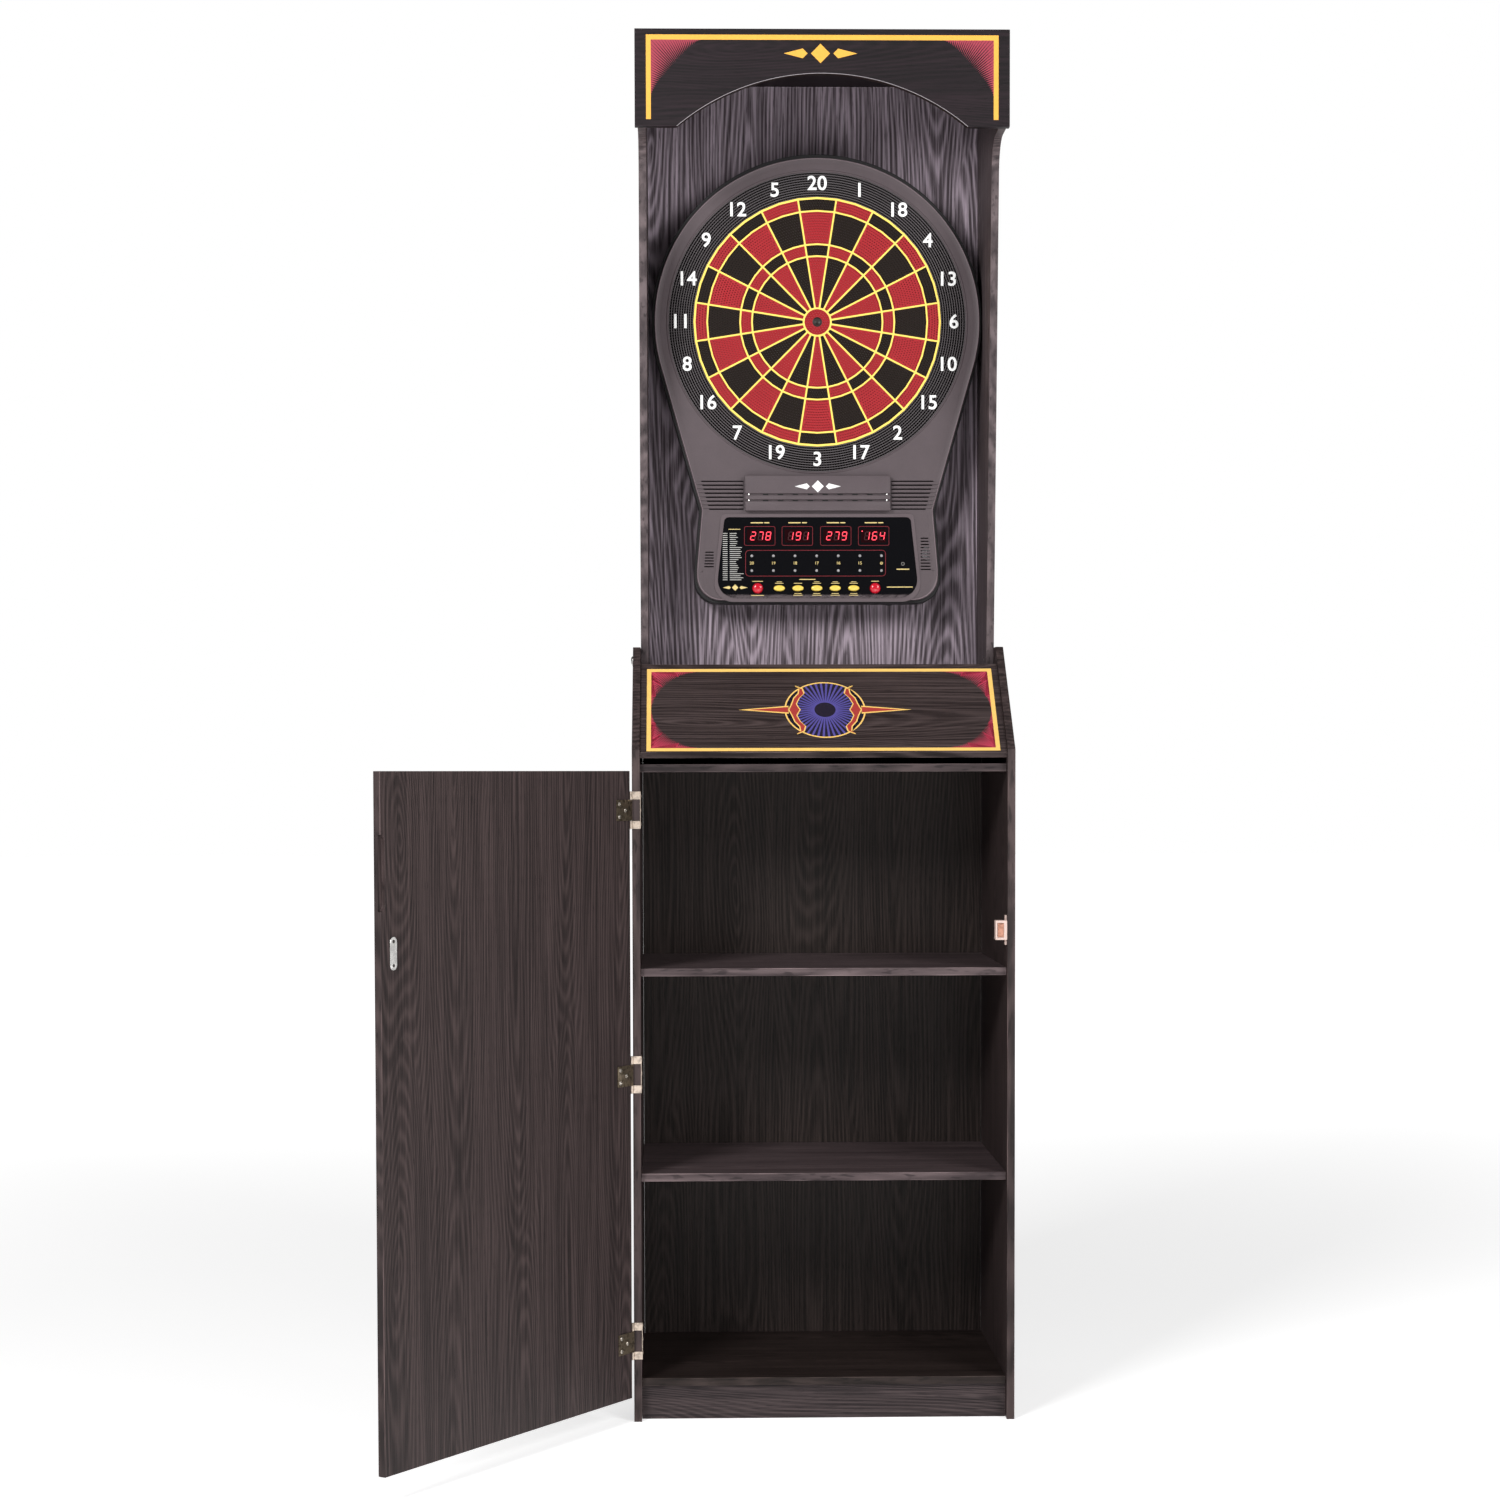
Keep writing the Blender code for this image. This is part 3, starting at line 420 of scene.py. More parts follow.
def lettering(text, size, weight, centre, depth, thickness):
    """Figures about a point of the head, at a depth behind its face, with rounded strokes."""
    curve = bpy.data.curves.new("lettering", "FONT")
    curve.body = text
    curve.size = size
    curve.align_x = "CENTER"
    curve.align_y = "CENTER"
    curve.space_character = 1.0 + 1.5 * weight / size
    curve.extrude = thickness / 2
    curve.bevel_depth = weight
    curve.bevel_resolution = 1
    curve.resolution_u = 6
    return from_curve(curve, on_head(depth) @ Matrix.Translation((*centre, 0)))


def at(place, turn=0.0, axis="X"):
    """A matrix that turns about an axis, then moves to a place."""
    return Matrix.Translation(place) @ Matrix.Rotation(turn, 4, axis)


def front(y):
    """A frame whose flat X and Y are the object's X and Z, at one Y."""
    return at((0, y, 0), QUARTER)


def on_head(depth):
    """The same at a depth behind the housing's face, with the bull at the flat origin."""
    return at((BULL_X, FACE_Y + depth, BULL_Z), QUARTER)


def side(x):
    """A frame whose flat X and Y are the object's Y and Z, at one X."""
    return Matrix(((0, 0, 1, x), (1, 0, 0, 0), (0, 1, 0, 0), (0, 0, 0, 1)))


def merged(parts):
    """One mesh from meshes, or from pairs of a mesh and a matrix."""
    shape = bmesh.new()
    for part in parts:
        mesh, matrix = part if isinstance(part, tuple) else (part, Matrix.Identity(4))
        placed = mesh.copy()
        placed.transform(matrix)
        shape.from_mesh(placed)
        bpy.data.meshes.remove(placed)
    mesh = bpy.data.meshes.new("merged")
    shape.to_mesh(mesh)
    shape.free()
    return mesh


def turned(profile, steps=32, half=(1.0, 1.0)):
    """A shape turned about flat Z, whose ends close on the axis.

    A profile point is a radius and a height.  Half sizes make the shape oval: a point's radius is
    then its share of them, and a third number is a margin outside that oval.
    """
    shape = bmesh.new()
    rings = []
    for radius, height, *margin in profile:
        if radius == 0:
            rings.append([shape.verts.new((0, 0, height))])
            continue
        wide, deep = [radius * size + sum(margin) for size in half]
        ring = []
        for step in range(steps):
            angle = math.tau * step / steps
            ring.append(shape.verts.new((wide * math.cos(angle), deep * math.sin(angle), height)))
        rings.append(ring)
    bridge(shape, rings, profile[0] == profile[-1])
    return finished(shape)


def bridge(shape, rings, closed=False):
    """Faces between each ring of vertices and the next."""
    pairs = list(zip(rings, rings[1:]))
    if closed:
        pairs[-1] = (rings[-2], rings[0])
        for vertex in rings[-1]:
            shape.verts.remove(vertex)
    for one, other in pairs:
        count = max(len(one), len(other))
        for step in range(count):
            corners = [one[step % len(one)], one[(step + 1) % len(one)],
                       other[(step + 1) % len(other)], other[step % len(other)]]
            unique = list(dict.fromkeys(corners))
            shape.faces.new(unique)


def finished(shape):
    """The mesh of a bmesh, its normals out."""
    bmesh.ops.recalc_face_normals(shape, faces=shape.faces)
    mesh = bpy.data.meshes.new("made")
    shape.to_mesh(mesh)
    shape.free()
    return mesh


def block(low, high):
    """A box between two corners."""
    low = Vector(low)
    high = Vector(high)
    shape = bmesh.new()
    bmesh.ops.create_cube(shape, size=1.0)
    bmesh.ops.scale(shape, vec=high - low, verts=shape.verts)
    bmesh.ops.translate(shape, vec=(low + high) / 2, verts=shape.verts)
    return finished(shape)


def piece(name, mesh, look, slot, body="cabinet", replaces=(), smooth=None, bevel=0.0, steps=3):
    """A mesh as a named piece that rides on a body."""
    obj = bpy.data.objects.new(name, mesh)
    bpy.context.scene.collection.objects.link(obj)
    mesh.name = name
    mesh.materials.clear()
    mesh.materials.append(look)
    if smooth is not None:
        mesh.shade_smooth()
        mesh.set_sharp_from_angle(angle=math.radians(smooth))
    if bevel:
        round_edges(obj, bevel, steps)
    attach(obj, body)
    if replaces:
        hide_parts(*replaces)


def ink(name, outlines, matrix, look, slot="black_ash"):
    """Flat outlines as a printed layer on the cabinet or the head."""
    piece(name, flat(outlines, INK, matrix), look, slot)


def round_edges(obj, width, steps=2):
    """Rounded edges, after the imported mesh's split corners are welded."""
    weld = obj.modifiers.new("weld", "WELD")
    weld.merge_threshold = 1e-6
    bevel = obj.modifiers.new("bevel", "BEVEL")
    bevel.width = width
    bevel.segments = steps
    bevel.limit_method = "ANGLE"
    bevel.angle_limit = math.radians(35)
    bevel.harden_normals = False


def dress(name, look, bevel=0.0):
    """Give a CAD node its material, and rounded edges."""
    obj = nodes[name]
    for place in obj.material_slots:
        place.material = look
    if bevel:
        round_edges(obj, bevel)


# ---- flat outlines ----
def polar(radius, angle, centre=(0, 0)):
    """A point from its distance and direction."""
    return centre[0] + radius * math.cos(angle), centre[1] + radius * math.sin(angle)


def arc(centre, radius, start, end, steps):
    """Points on an arc, angles in degrees, both ends included."""
    return [polar(radius, math.radians(start + (end - start) * step / steps), centre)
            for step in range(steps + 1)]


def circle(centre, radius, steps):
    """Points round a circle, once each."""
    return arc(centre, radius, 0, 360, steps)[:-1]


def rounded(points, radii, steps=5):
    """A polygon with its corners rounded, each to its own radius."""
    outline = []
    count = len(points)
    for index, radius in enumerate(radii):
        corner = Vector(points[index])
        if radius <= 0:
            outline.append(tuple(corner))
            continue
        before = (Vector(points[index - 1]) - corner).normalized()
        after = (Vector(points[(index + 1) % count]) - corner).normalized()
        half = before.angle(after) / 2
        reach = radius / math.tan(half)
        middle = corner + (before + after).normalized() * radius / math.sin(half)
        first = corner + before * reach - middle
        last = corner + after * reach - middle
        start = math.atan2(first.y, first.x)
        turn = (math.atan2(last.y, last.x) - start + math.pi) % math.tau - math.pi
        outline += [polar(radius, start + turn * step / steps, middle) for step in range(steps + 1)]
    return outline


def oblong(low, high, radius=0.0, steps=4):
    """A rectangle between two corners, rounded."""
    corners = [(low[0], low[1]), (high[0], low[1]), (high[0], high[1]), (low[0], high[1])]
    return rounded(corners, [radius] * 4, steps)


def head_outline(inset=0.0):
    """The housing from the front: a disc that narrows to a waist over a rounded console."""
    radius = HOUSING_RADIUS - inset
    shoulder = polar(radius, math.radians(SHOULDER))
    right = [(HIP[0] - inset, FOOT_Z + inset), (HIP[0] - inset, HIP[1]), (WAIST[0] - inset, WAIST[1]),
             shoulder]
    left = [(-x, z) for x, z in reversed(right)]
    console = rounded(left + right, CONSOLE_RADII + CONSOLE_RADII[::-1], 8)
    return arc((0, 0), radius, SHOULDER, 180 - SHOULDER, 96) + console[1:-1]


def window_outline(inset=0.0):
    """The display window: straight across the top, wider towards its rounded bottom."""
    (top, high), (bottom, low) = WINDOW_TOP, WINDOW_FOOT
    corners = [(inset - top, high - inset), (inset - bottom, low + inset), (bottom - inset, low + inset),
               (top - inset, high - inset)]
    return rounded(corners, [0.008, 0.030, 0.030, 0.008], 8)


def head_edge(z, inset):
    """How far out the housing's outline is at one height."""
    points = head_outline(inset)
    crossings = []
    for one, other in zip(points, points[1:] + points[:1]):
        if (one[1] - z) * (other[1] - z) < 0:
            share = (z - one[1]) / (other[1] - one[1])
            crossings.append(one[0] + share * (other[0] - one[0]))
    return max(crossings)


# ---- cabinet ----
def cabinet():
    """Every board in ash foil, its grain along its length."""
    x, y, z = (1, 0, 0), (0, 1, 0), (0, 0, 1)
    up = slope_direction(nodes["console_panel"])
    door_across = tuple(Matrix.Rotation(-DOOR_OPEN, 3, "Z") @ Vector(x))
    boards = (                      # across and along the grain, colours, figure's width, rings' pitch
        ("side_panel_left", y, z, DOOR_WOOD, 0.062, 0.0052),
        ("side_panel_right", y, z, DOOR_WOOD, 0.055, 0.0050),
        ("upper_side_left", y, z, SIDE_WOOD, 0.050, 0.0054),
        ("upper_side_right", y, z, SIDE_WOOD, 0.050, 0.0054),
        ("back_panel", x, z, BACK_WOOD_PAINTED_SHADE, 0.070, 0.0056),
        ("door_panel", door_across, z, DOOR_WOOD, 0.066, 0.0050),
        ("base_panel", y, x, BACK_WOOD_PAINTED_SHADE, 0.085, 0.0060),
        ("deck_panel", y, x, RAIL_WOOD, 0.085, 0.0060),
        ("shelf_lower", y, x, SHELF_WOOD, 0.085, 0.0060),
        ("shelf_upper", y, x, SHELF_WOOD, 0.080, 0.0060),
        ("ceiling_panel", y, x, RAIL_WOOD, 0.085, 0.0060),
        ("top_panel", y, x, HEADER_WOOD, 0.085, 0.0060),
        ("kick_board", z, x, RAIL_WOOD, 0.040, 0.0045),
        ("console_panel", up, x, CONSOLE_WOOD, 0.060, 0.0044),
        ("header_panel", z, x, HEADER_WOOD, 0.060, 0.0042),
    )
    for index, (name, *grain) in enumerate(boards):
        dress(name, wood(nodes[name], *grain, 0.37 * index), BOARD_BEVEL)
    look = wood(nodes["dartboard_panel"], x, z, ASH_WOOD, 0.078, 0.0062, 1.31, 0.50, 0.5, 0.80)
    dress("dartboard_panel", look, BOARD_BEVEL - 0.0001)


def slope_direction(panel):
    """Up the console's slope, from its front edge to its rear one."""
    places = [vertex.co for vertex in panel.data.vertices]
    low = min(places, key=lambda place: place.y)
    high = max(places, key=lambda place: place.z)
    return tuple(Vector((0, high.y - low.y, high.z - low.z)).normalized())


def console_frame():
    """A frame on the console's face: flat X to the right, flat Y up the slope from its front edge."""
    right = Vector((1, 0, 0))
    up = Vector(slope_direction(nodes["console_panel"]))
    out = right.cross(up)
    places = [vertex.co for vertex in nodes["console_panel"].data.vertices]
    level = max(place.dot(out) for place in places)
    face = [place for place in places if place.dot(out) > level - 1e-4]
    start = min(face, key=lambda place: place.dot(up))
    return Matrix.Translation((0, start.y, start.z)) @ Matrix((right, up, out)).transposed().to_4x4()


def corner_rays(corner, reach, count, bulge):
    """Pointed rays that fill a corner outside a curve from one border to the other.

    The corner is where two borders meet, and reach is how far along each one the rays go.  The
    curve is a quarter ellipse round the reach's far corner, drawn in towards its chord by bulge.
    """
    centre = Vector((corner[0] + reach[0], corner[1] + reach[1]))
    outlines = []

    def spoke(angle):
        return Vector((-reach[0] * math.sin(angle), -reach[1] * math.cos(angle)))

    def border(angle):
        direction = spoke(angle)
        far = min(abs(size / part) if abs(part) > 1e-9 else 1e9 for size, part in zip(reach, direction))
        return centre + direction * far

    for index in range(count):
        start, middle, end = [math.pi / 2 * (index + share) / count for share in (0.03, 0.5, 0.97)]
        first, last = border(start), border(end)
        tip = centre + spoke(middle) * (1.0 - bulge * math.sin(2 * middle))
        outline = [tuple(first), tuple(tip), tuple(last)]
        if min(abs(first.x - last.x), abs(first.y - last.y)) >= 1e-9:
            outline.append(tuple(corner))
        outlines.append(outline)
    return outlines


def emblem_mark(width, centre):
    """A plain lozenge between two tapering bars."""
    x, z = centre
    tall = width * 0.13
    outlines = [[(x - tall, z), (x, z - tall), (x + tall, z), (x, z + tall)]]
    for sign in (-1, 1):
        near = x + sign * tall * 1.35
        far = x + sign * width / 2
        outlines.append([(near, z), (near + sign * tall * 0.5, z + tall * 0.5), (far, z),
                         (near + sign * tall * 0.5, z - tall * 0.5)])
    return outlines


def header_print():
    """Gold border, red rays in the corners, a plain mark, and the arch's pale edging."""
    inner, outer = BORDER_X
    foot, line, top = BORDER_Z
    place = front(HEADER_Y - INK / 2)
    gold = printed("header_gold", HEADER_GOLD)
    border = [(-outer, foot), (-inner, foot), (-inner, line), (inner, line), (inner, foot), (outer, foot),
              (outer, top), (-outer, top)]
    ink("header_border", [border], place, gold)
    ink("header_mark", emblem_mark(0.112, (-0.0030, 2.0940)), place, gold)
    rays = []
    for sign in (-1, 1):
        rays += corner_rays((sign * inner, line), (-sign * 0.076, -0.084), 40, 0.22)
    piece("header_rays", prisms(rays, INK, place), printed("header_red", (0.33, 0.030, 0.058)), "black_ash")
    half, low, high = ARCH
    radius = (half ** 2 + (high - low) ** 2) / (2 * (high - low))
    spread = math.degrees(math.asin(half / radius))
    edge = arc((0, high - radius), radius, 90 + spread, 90 - spread, 48)
    edge += arc((0, high - radius), radius + 0.0007, 90 - spread, 90 + spread, 48)
    ink("arch_edging", [edge], place, printed("edging_grey", (0.34, 0.31, 0.33)))


def console_print():
    """Gold border, red rays in four corners and a sunburst disc with two long spikes."""
    matrix = console_frame() @ Matrix.Translation((0, 0, INK / 2))
    inner, outer = CONSOLE_X
    low, high, width = CONSOLE_Z
    gold = printed("console_gold", CONSOLE_GOLD)
    rim = [oblong((-outer, low), (outer, high)), oblong((-inner, low + width), (inner, high - width))]
    ink("console_border", rim, matrix, gold)
    half = (high - low) / 2 - width
    rays = []
    for sign in (-1, 1):
        rays += corner_rays((sign * inner, high - width), (-sign * 0.074, -half), 44, 0.05)
        rays += corner_rays((sign * inner, low + width), (-sign * 0.074, half), 44, 0.05)
    piece("console_rays", prisms(rays, INK, matrix), printed("console_red", RAY_RED), "black_ash")
    sunburst(matrix, gold, (0.0055, 0.0950))


def sunburst(matrix, gold, centre):
    """The disc in the middle of the console, in the colours of the print."""
    x, z = centre
    higher = matrix @ Matrix.Translation((0, 0, INK))
    highest = matrix @ Matrix.Translation((0, 0, 2 * INK))
    dark = printed("console_dark", (0.014, 0.011, 0.026))
    eye = circle(centre, DISC_EYE, 32)
    ink("disc_blue", [circle(centre, DISC_RADIUS, 64), eye], matrix, printed("console_blue", INK_BLUE))
    rays = [eye]
    for index in range(DISC_RAYS):
        angle = 360 * index / DISC_RAYS
        tip = polar(DISC_EYE + 0.002, math.radians(angle), centre)
        rays.append([tip] + arc(centre, DISC_RADIUS - 0.0002, angle - 2.4, angle + 2.4, 2))
    ink("disc_rays", rays, higher, dark)
    ring = [circle(centre, DISC_RADIUS + DISC_LINE, 64), circle(centre, DISC_RADIUS - 0.0002, 64)]
    ink("disc_ring", ring, higher, gold)
    rims, cores, shades = [], [], []
    for sign in (-1, 1):
        inner, outer = flame_edges(centre, sign, 0.0)
        rims.append(outer + inner[::-1])
        shades += flame_shades(centre, sign, outer)
        inner, outer = flame_edges(centre, sign, DISC_LINE * 0.80)
        flame = outer + inner[::-1]
        near, far, tall = x + sign * 0.93 * DISC_RADIUS, x + sign * 0.1345, 0.0090
        spike = [(near + sign * 0.0006, z - tall + 0.0028), (far - sign * 0.0150, z),
                 (near + sign * 0.0006, z + tall - 0.0028)]
        rims += [flame, [(near, z - tall), (far, z), (near, z + tall)], spike]
        cores += [flame, spike]
    ink("flame_shades", shades, higher, dark)
    ink("flame_rims", rims, highest, gold)
    ink("flame_cores", cores, highest, printed("spike_red", (0.42, 0.045, 0.040)))


def flame_edges(centre, sign, inset):
    """The inner and outer edges of a wavy band inside one side of the disc, from shares of its radius."""
    inner, outer = [], []
    for rise, near, far in FLAME:
        height = centre[1] + rise * (DISC_RADIUS - inset)
        slim = min(inset, 0.3 * DISC_RADIUS * (far - near))
        inner.append((centre[0] + sign * (near * DISC_RADIUS + slim), height))
        outer.append((centre[0] + sign * (far * DISC_RADIUS - slim), height))
    return inner, outer


def flame_shades(centre, sign, outer):
    """Dark ground between a wavy band and the disc's edge, above and below the spike."""
    made = []
    for half in (outer[1:7], outer[6:12]):
        rim = []
        for _, z in half[::-1]:
            reach = (DISC_RADIUS - 0.0004) * math.cos(math.asin((z - centre[1]) / DISC_RADIUS))
            rim.append((centre[0] + sign * reach, z))
        made.append(half + rim)
    return made


def bolts():
    """Dome-headed bolts with a round recess."""
    plated = metal("bolt_plating", (0.45, 0.44, 0.43), 0.30, 0.4)
    for name in ("bolt_left_front", "bolt_left_rear", "bolt_right_front", "bolt_right_rear"):
        low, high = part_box(name)
        sign = 1 if high.x > 0 else -1
        radius = (high.z - low.z) / 2
        shank = radius * 3 / 7
        length = high.x - low.x
        profile = [(0, 0), (shank * 0.8, 0), (shank, 0.0006), (shank, length - 0.0036),
                   (radius, length - 0.0036), (radius, length - 0.0028), (radius * 0.93, length - 0.0016),
                   (radius * 0.78, length - 0.0006), (radius * 0.5, length), (radius * 0.36, length),
                   (radius * 0.33, length - 0.0018), (0, length - 0.0018)]
        start = low.x if sign > 0 else high.x
        mesh = turned(profile)
        mesh.transform(at((start, (low.y + high.y) / 2, (low.z + high.z) / 2), sign * QUARTER, "Y"))
        piece(name + "_head", mesh, plated, "bolt_steel", replaces=(name,), smooth=35)


# ---- door and hinges ----
def closed_door():
    """From the closed door's place to where it stands open at rest."""
    return at(HINGE_AXIS, -DOOR_OPEN, "Z") @ Matrix.Translation(-HINGE_AXIS)


def screw_head(radius, height):
    """A countersunk cross-recess screw head, its top at the height given."""
    dish = [(0, 0), (radius * 0.92, 0), (radius, height * 0.35), (radius * 0.86, height * 0.8),
            (radius * 0.45, height), (radius * 0.30, height * 0.55), (0, height * 0.55)]
    long, wide = radius * 0.62, radius * 0.10
    bar = block((-long, -wide, height * 0.86), (long, wide, height * 1.04))
    bars = [(bar, Matrix.Rotation(turn + 0.4, 4, "Z")) for turn in (0, QUARTER)]
    return merged([turned(dish, 20)] + bars)


def screws(name, head, places, look, slot, body="cabinet"):
    """One piece from a screw head at several places."""
    piece(name, merged([(head, place) for place in places]), look, slot, body, smooth=30)


def hinges():
    """Stained brass plates and leaves, their pins and screws."""
    brass = metal("hinge_brass", (0.66, 0.55, 0.46), 0.32, 0.45)
    bronze = metal("leaf_bronze", (0.30, 0.24, 0.17), 0.40, 0.70)
    bright = metal("screw_nickel", (0.72, 0.66, 0.58), 0.28, 0.3)
    head = screw_head(0.0032, 0.0009)
    door = closed_door()
    for name in ("lower", "middle", "upper"):
        for part, look in (("plate", brass), ("leaf", bronze), ("pin", bright)):
            dress(f"hinge_{part}_{name}", look, 0.0002)
        low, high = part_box(f"hinge_plate_{name}")
        middle = (low.z + high.z) / 2
        places = [at((high.x, high.y - 0.0075, middle + rise), QUARTER, "Y")
                  for rise in (-0.0215, 0.0, 0.0215)]
        screws(f"frame_screws_{name}", head, places, bright, "hinge_metal")
        places = [door @ at((HINGE_AXIS.x + reach, LEAF_BACK, middle + rise), -QUARTER)
                  for reach, rise in ((0.0330, -0.0098), (0.0330, 0.0098), (0.0175, 0.0))]
        screws(f"leaf_screws_{name}", head, places, bright, "hinge_metal", "door")


def door_trim():
    """The strike plate with its two screws."""
    dress("strike_plate", metal("strike_steel", (0.80, 0.79, 0.77), 0.26, 0.15), 0.0003)
    dark = metal("screw_dark", (0.10, 0.09, 0.085), 0.45, 0.3)
    x, y, z = STRIKE_PLACE
    places = [closed_door() @ at((x, y, z + rise), -QUARTER) for rise in (-0.0165, 0.0165)]
    screws("strike_screws", screw_head(0.0026, 0.0006), places, dark, "strike_steel", "door")


def catch():
    """The magnetic catch on the right-hand wall."""
    dress("catch_body", moulded("catch_ivory", (0.62, 0.47, 0.42), 0.38, 0.00005, 1500.0, 0.08), 0.0006)
    dress("catch_magnet", metal("magnet_plate", (0.48, 0.24, 0.17), 0.40, 0.4), 0.0003)
    low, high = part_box("catch_body")
    bright = metal("catch_screw", (0.75, 0.66, 0.60), 0.3, 0.3)
    places = [at((high.x - 0.0030, (low.y + high.y) / 2 + 0.0005, z), -QUARTER, "Y")
              for z in (low.z + 0.0042, high.z - 0.0042)]
    screws("catch_screws", screw_head(0.0021, 0.0007), places, bright, "catch_plastic")


# ---- dart head ----
def housing():
    """The front shell: rounded rim with a bead, flat face with its openings, and its mouldings."""
    grey = moulded("housing_grey", HOUSING_GREY, 0.46, 0.00022, 620.0, 0.14)
    back = HOUSING_BACK_Y - FACE_Y
    rim = outline_loft([(0.0041, 0.0120), (0.0041, 0.0026), (0.0045, 0.0010), (0.0051, 0.0004),
                        (0.0058, 0.0002), (0.0066, 0.0004), (0.0073, 0.0010), (0.0078, 0.0012),
                        (0.0150, 0.0012), (0.0150, 0.0042), (0.0085, 0.0080), (0.0080, 0.0120)])
    lip = NUMBER_RADIUS + 0.0003
    outlines = [head_outline(0.0142), circle((0, 0), lip, 160), window_outline(-0.0002)]
    outlines += vent_slots() + level_bars(GROOVES, 0.0165, 0.1190, 0.0010, 0.0004, 1)
    plate = flat(outlines, 0.0028, on_head(0.0024))
    piece("front_housing_shell", merged([rim, plate]), grey, "housing_plastic",
          replaces=("front_housing",), smooth=32)
    flange = outline_loft([(0.0, back), (0.0, 0.0104), (0.0008, 0.0096), (0.0090, 0.0096),
                           (0.0090, 0.0130), (0.0036, 0.0150), (0.0031, back)])
    foot = min(z for _, z in head_outline())
    stretch = 1 + FLANGE_RISE / (HOUSING_RADIUS - foot)
    seat = Matrix.Translation((0, 0, BULL_Z + foot))
    flange.transform(seat @ Matrix.Diagonal((1, 1, stretch, 1)) @ seat.inverted())
    black = moulded("rear_black", (0.012, 0.011, 0.012), 0.5, mottle=0.12)
    piece("housing_flange", flange, black, "housing_plastic", smooth=32)
    # painted highlight: a thin ring along the bead, in the housing grey made 2.3 times lighter
    line = outline_loft([(0.0053, 0.0006), (0.0053, 0.0002), (0.0055, 0.0), (0.0062, 0.0),
                         (0.0064, 0.0002), (0.0064, 0.0006)])
    rim_highlight = moulded("rim_worn", toned(HOUSING_GREY, 2.3), 0.34, mottle=0.20)
    piece("rim_line", line, rim_highlight, "housing_plastic", smooth=32)
    collar = turned([(lip, 0.0), (lip + 0.0009, 0.0009), (lip + 0.0023, 0.0009), (lip + 0.0033, 0.0),
                     (lip + 0.0033, -0.0006), (lip, -0.0006), (lip, 0.0)], 160)
    collar.transform(on_head(0.0010))
    piece("target_lip", collar, grey, "housing_plastic", smooth=25)
    # painted highlight: the raised lip takes the housing grey made 1.25 times lighter
    pale = moulded("lip_grey", toned(HOUSING_GREY, 1.25), 0.40, mottle=0.08)
    rims = flat([window_outline(-0.0052), window_outline()], 0.0016, on_head(0.0004))
    piece("window_lip", rims, pale, "housing_plastic", bevel=0.0007)
    between = [(one + other) / 2 for one, other in zip(GROOVES, GROOVES[1:])]
    bars = [flat([bar], 0.0016, on_head(0.0004))
            for bar in level_bars(between, 0.0068, 0.1192, 0.0019, 0.0008, 2)]
    piece("grip_ribs", merged(bars), grey, "housing_plastic", bevel=0.0005, steps=2)
    dress("rear_housing", black, 0.0008)
    dress("dc_inlet", black, 0.0003)


def outline_loft(profile):
    """A closed band round the housing: each point of its profile is an inset and a depth."""
    shape = bmesh.new()
    rings = []
    for inset, depth in profile + profile[:1]:
        ring = []
        for x, z in head_outline(inset):
            ring.append(shape.verts.new((BULL_X + x, FACE_Y + depth, BULL_Z + z)))
        rings.append(ring)
    bridge(shape, rings, True)
    return finished(shape)


def vent_slots():
    """Narrow slots at both sides of the window, over the speaker on the right."""
    slots = []
    for start, end, top, bottom, count in ((-0.1836, -0.1672, -0.3682, -0.3914, 6),
                                           (0.1664, 0.1836, -0.3460, -0.3960, 11)):
        for index in range(count):
            z = top + (bottom - top) * index / (count - 1)
            reach = head_edge(z, 0.0156)
            left, right = max(start, -reach), min(end, reach)
            slots.append(oblong((left, z - 0.0010), (right, z + 0.0010), 0.0009, 2))
    return slots


def level_bars(heights, inset, start, half, radius, steps):
    """Level outlines at both sides of the dart holder, out to near the housing's edge."""
    bars = []
    for z in heights:
        for sign in (-1, 1):
            left, right = sorted((sign * start, sign * head_edge(z, inset)))
            bars.append(oblong((left, z - half), (right, z + half), radius, steps))
    return bars


def dart_holder():
    """A grooved block with slots for the darts' points and four small screws."""
    grey = moulded("holder_grey", HOUSING_GREY, 0.44, 0.0002, 640.0, 0.12)
    low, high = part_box("dart_holder")
    face, deep, tall = low.y, 0.0036, 0.0014
    profile = [(high.y, low.z), (face, low.z)]
    for z in reversed(HOLDER_GROOVES):
        profile += [(face, z - tall), (face + deep, z - tall * 0.7), (face + deep, z + tall * 0.7),
                    (face, z + tall)]
    profile += [(face, high.z), (high.y, high.z)]
    mesh = flat([profile], high.x - low.x, side((low.x + high.x) / 2))
    piece("dart_holder_block", mesh, grey, "housing_plastic", replaces=("dart_holder",), bevel=0.0007)
    slots, places = [], []
    for z in HOLDER_GROOVES:
        for index in range(8):
            x = BULL_X - 0.0840 + 0.168 * index / 7
            slots.append(block((x - 0.0042, face + deep - 0.0016, z - tall * 0.6),
                               (x + 0.0042, face + deep + 0.0004, z + tall * 0.6)))
        places += [at((BULL_X + x, face + 0.0001, z), QUARTER) for x in (-0.1108, 0.1108)]
    black = moulded("slot_black", (0.004, 0.004, 0.004), 0.6, 0.00005)
    piece("holder_slots", merged(slots), black, "black_plastic")
    nickel = metal("holder_nickel", (0.85, 0.84, 0.82), 0.2, 0.1)
    screws("holder_screws", screw_head(0.0014, 0.0007), places, nickel, "housing_plastic")
    ink("holder_mark", emblem_mark(0.074, (BULL_X, BULL_Z - 0.2638)), front(face - INK / 2),
        printed("holder_white", WHITE), "housing_plastic")


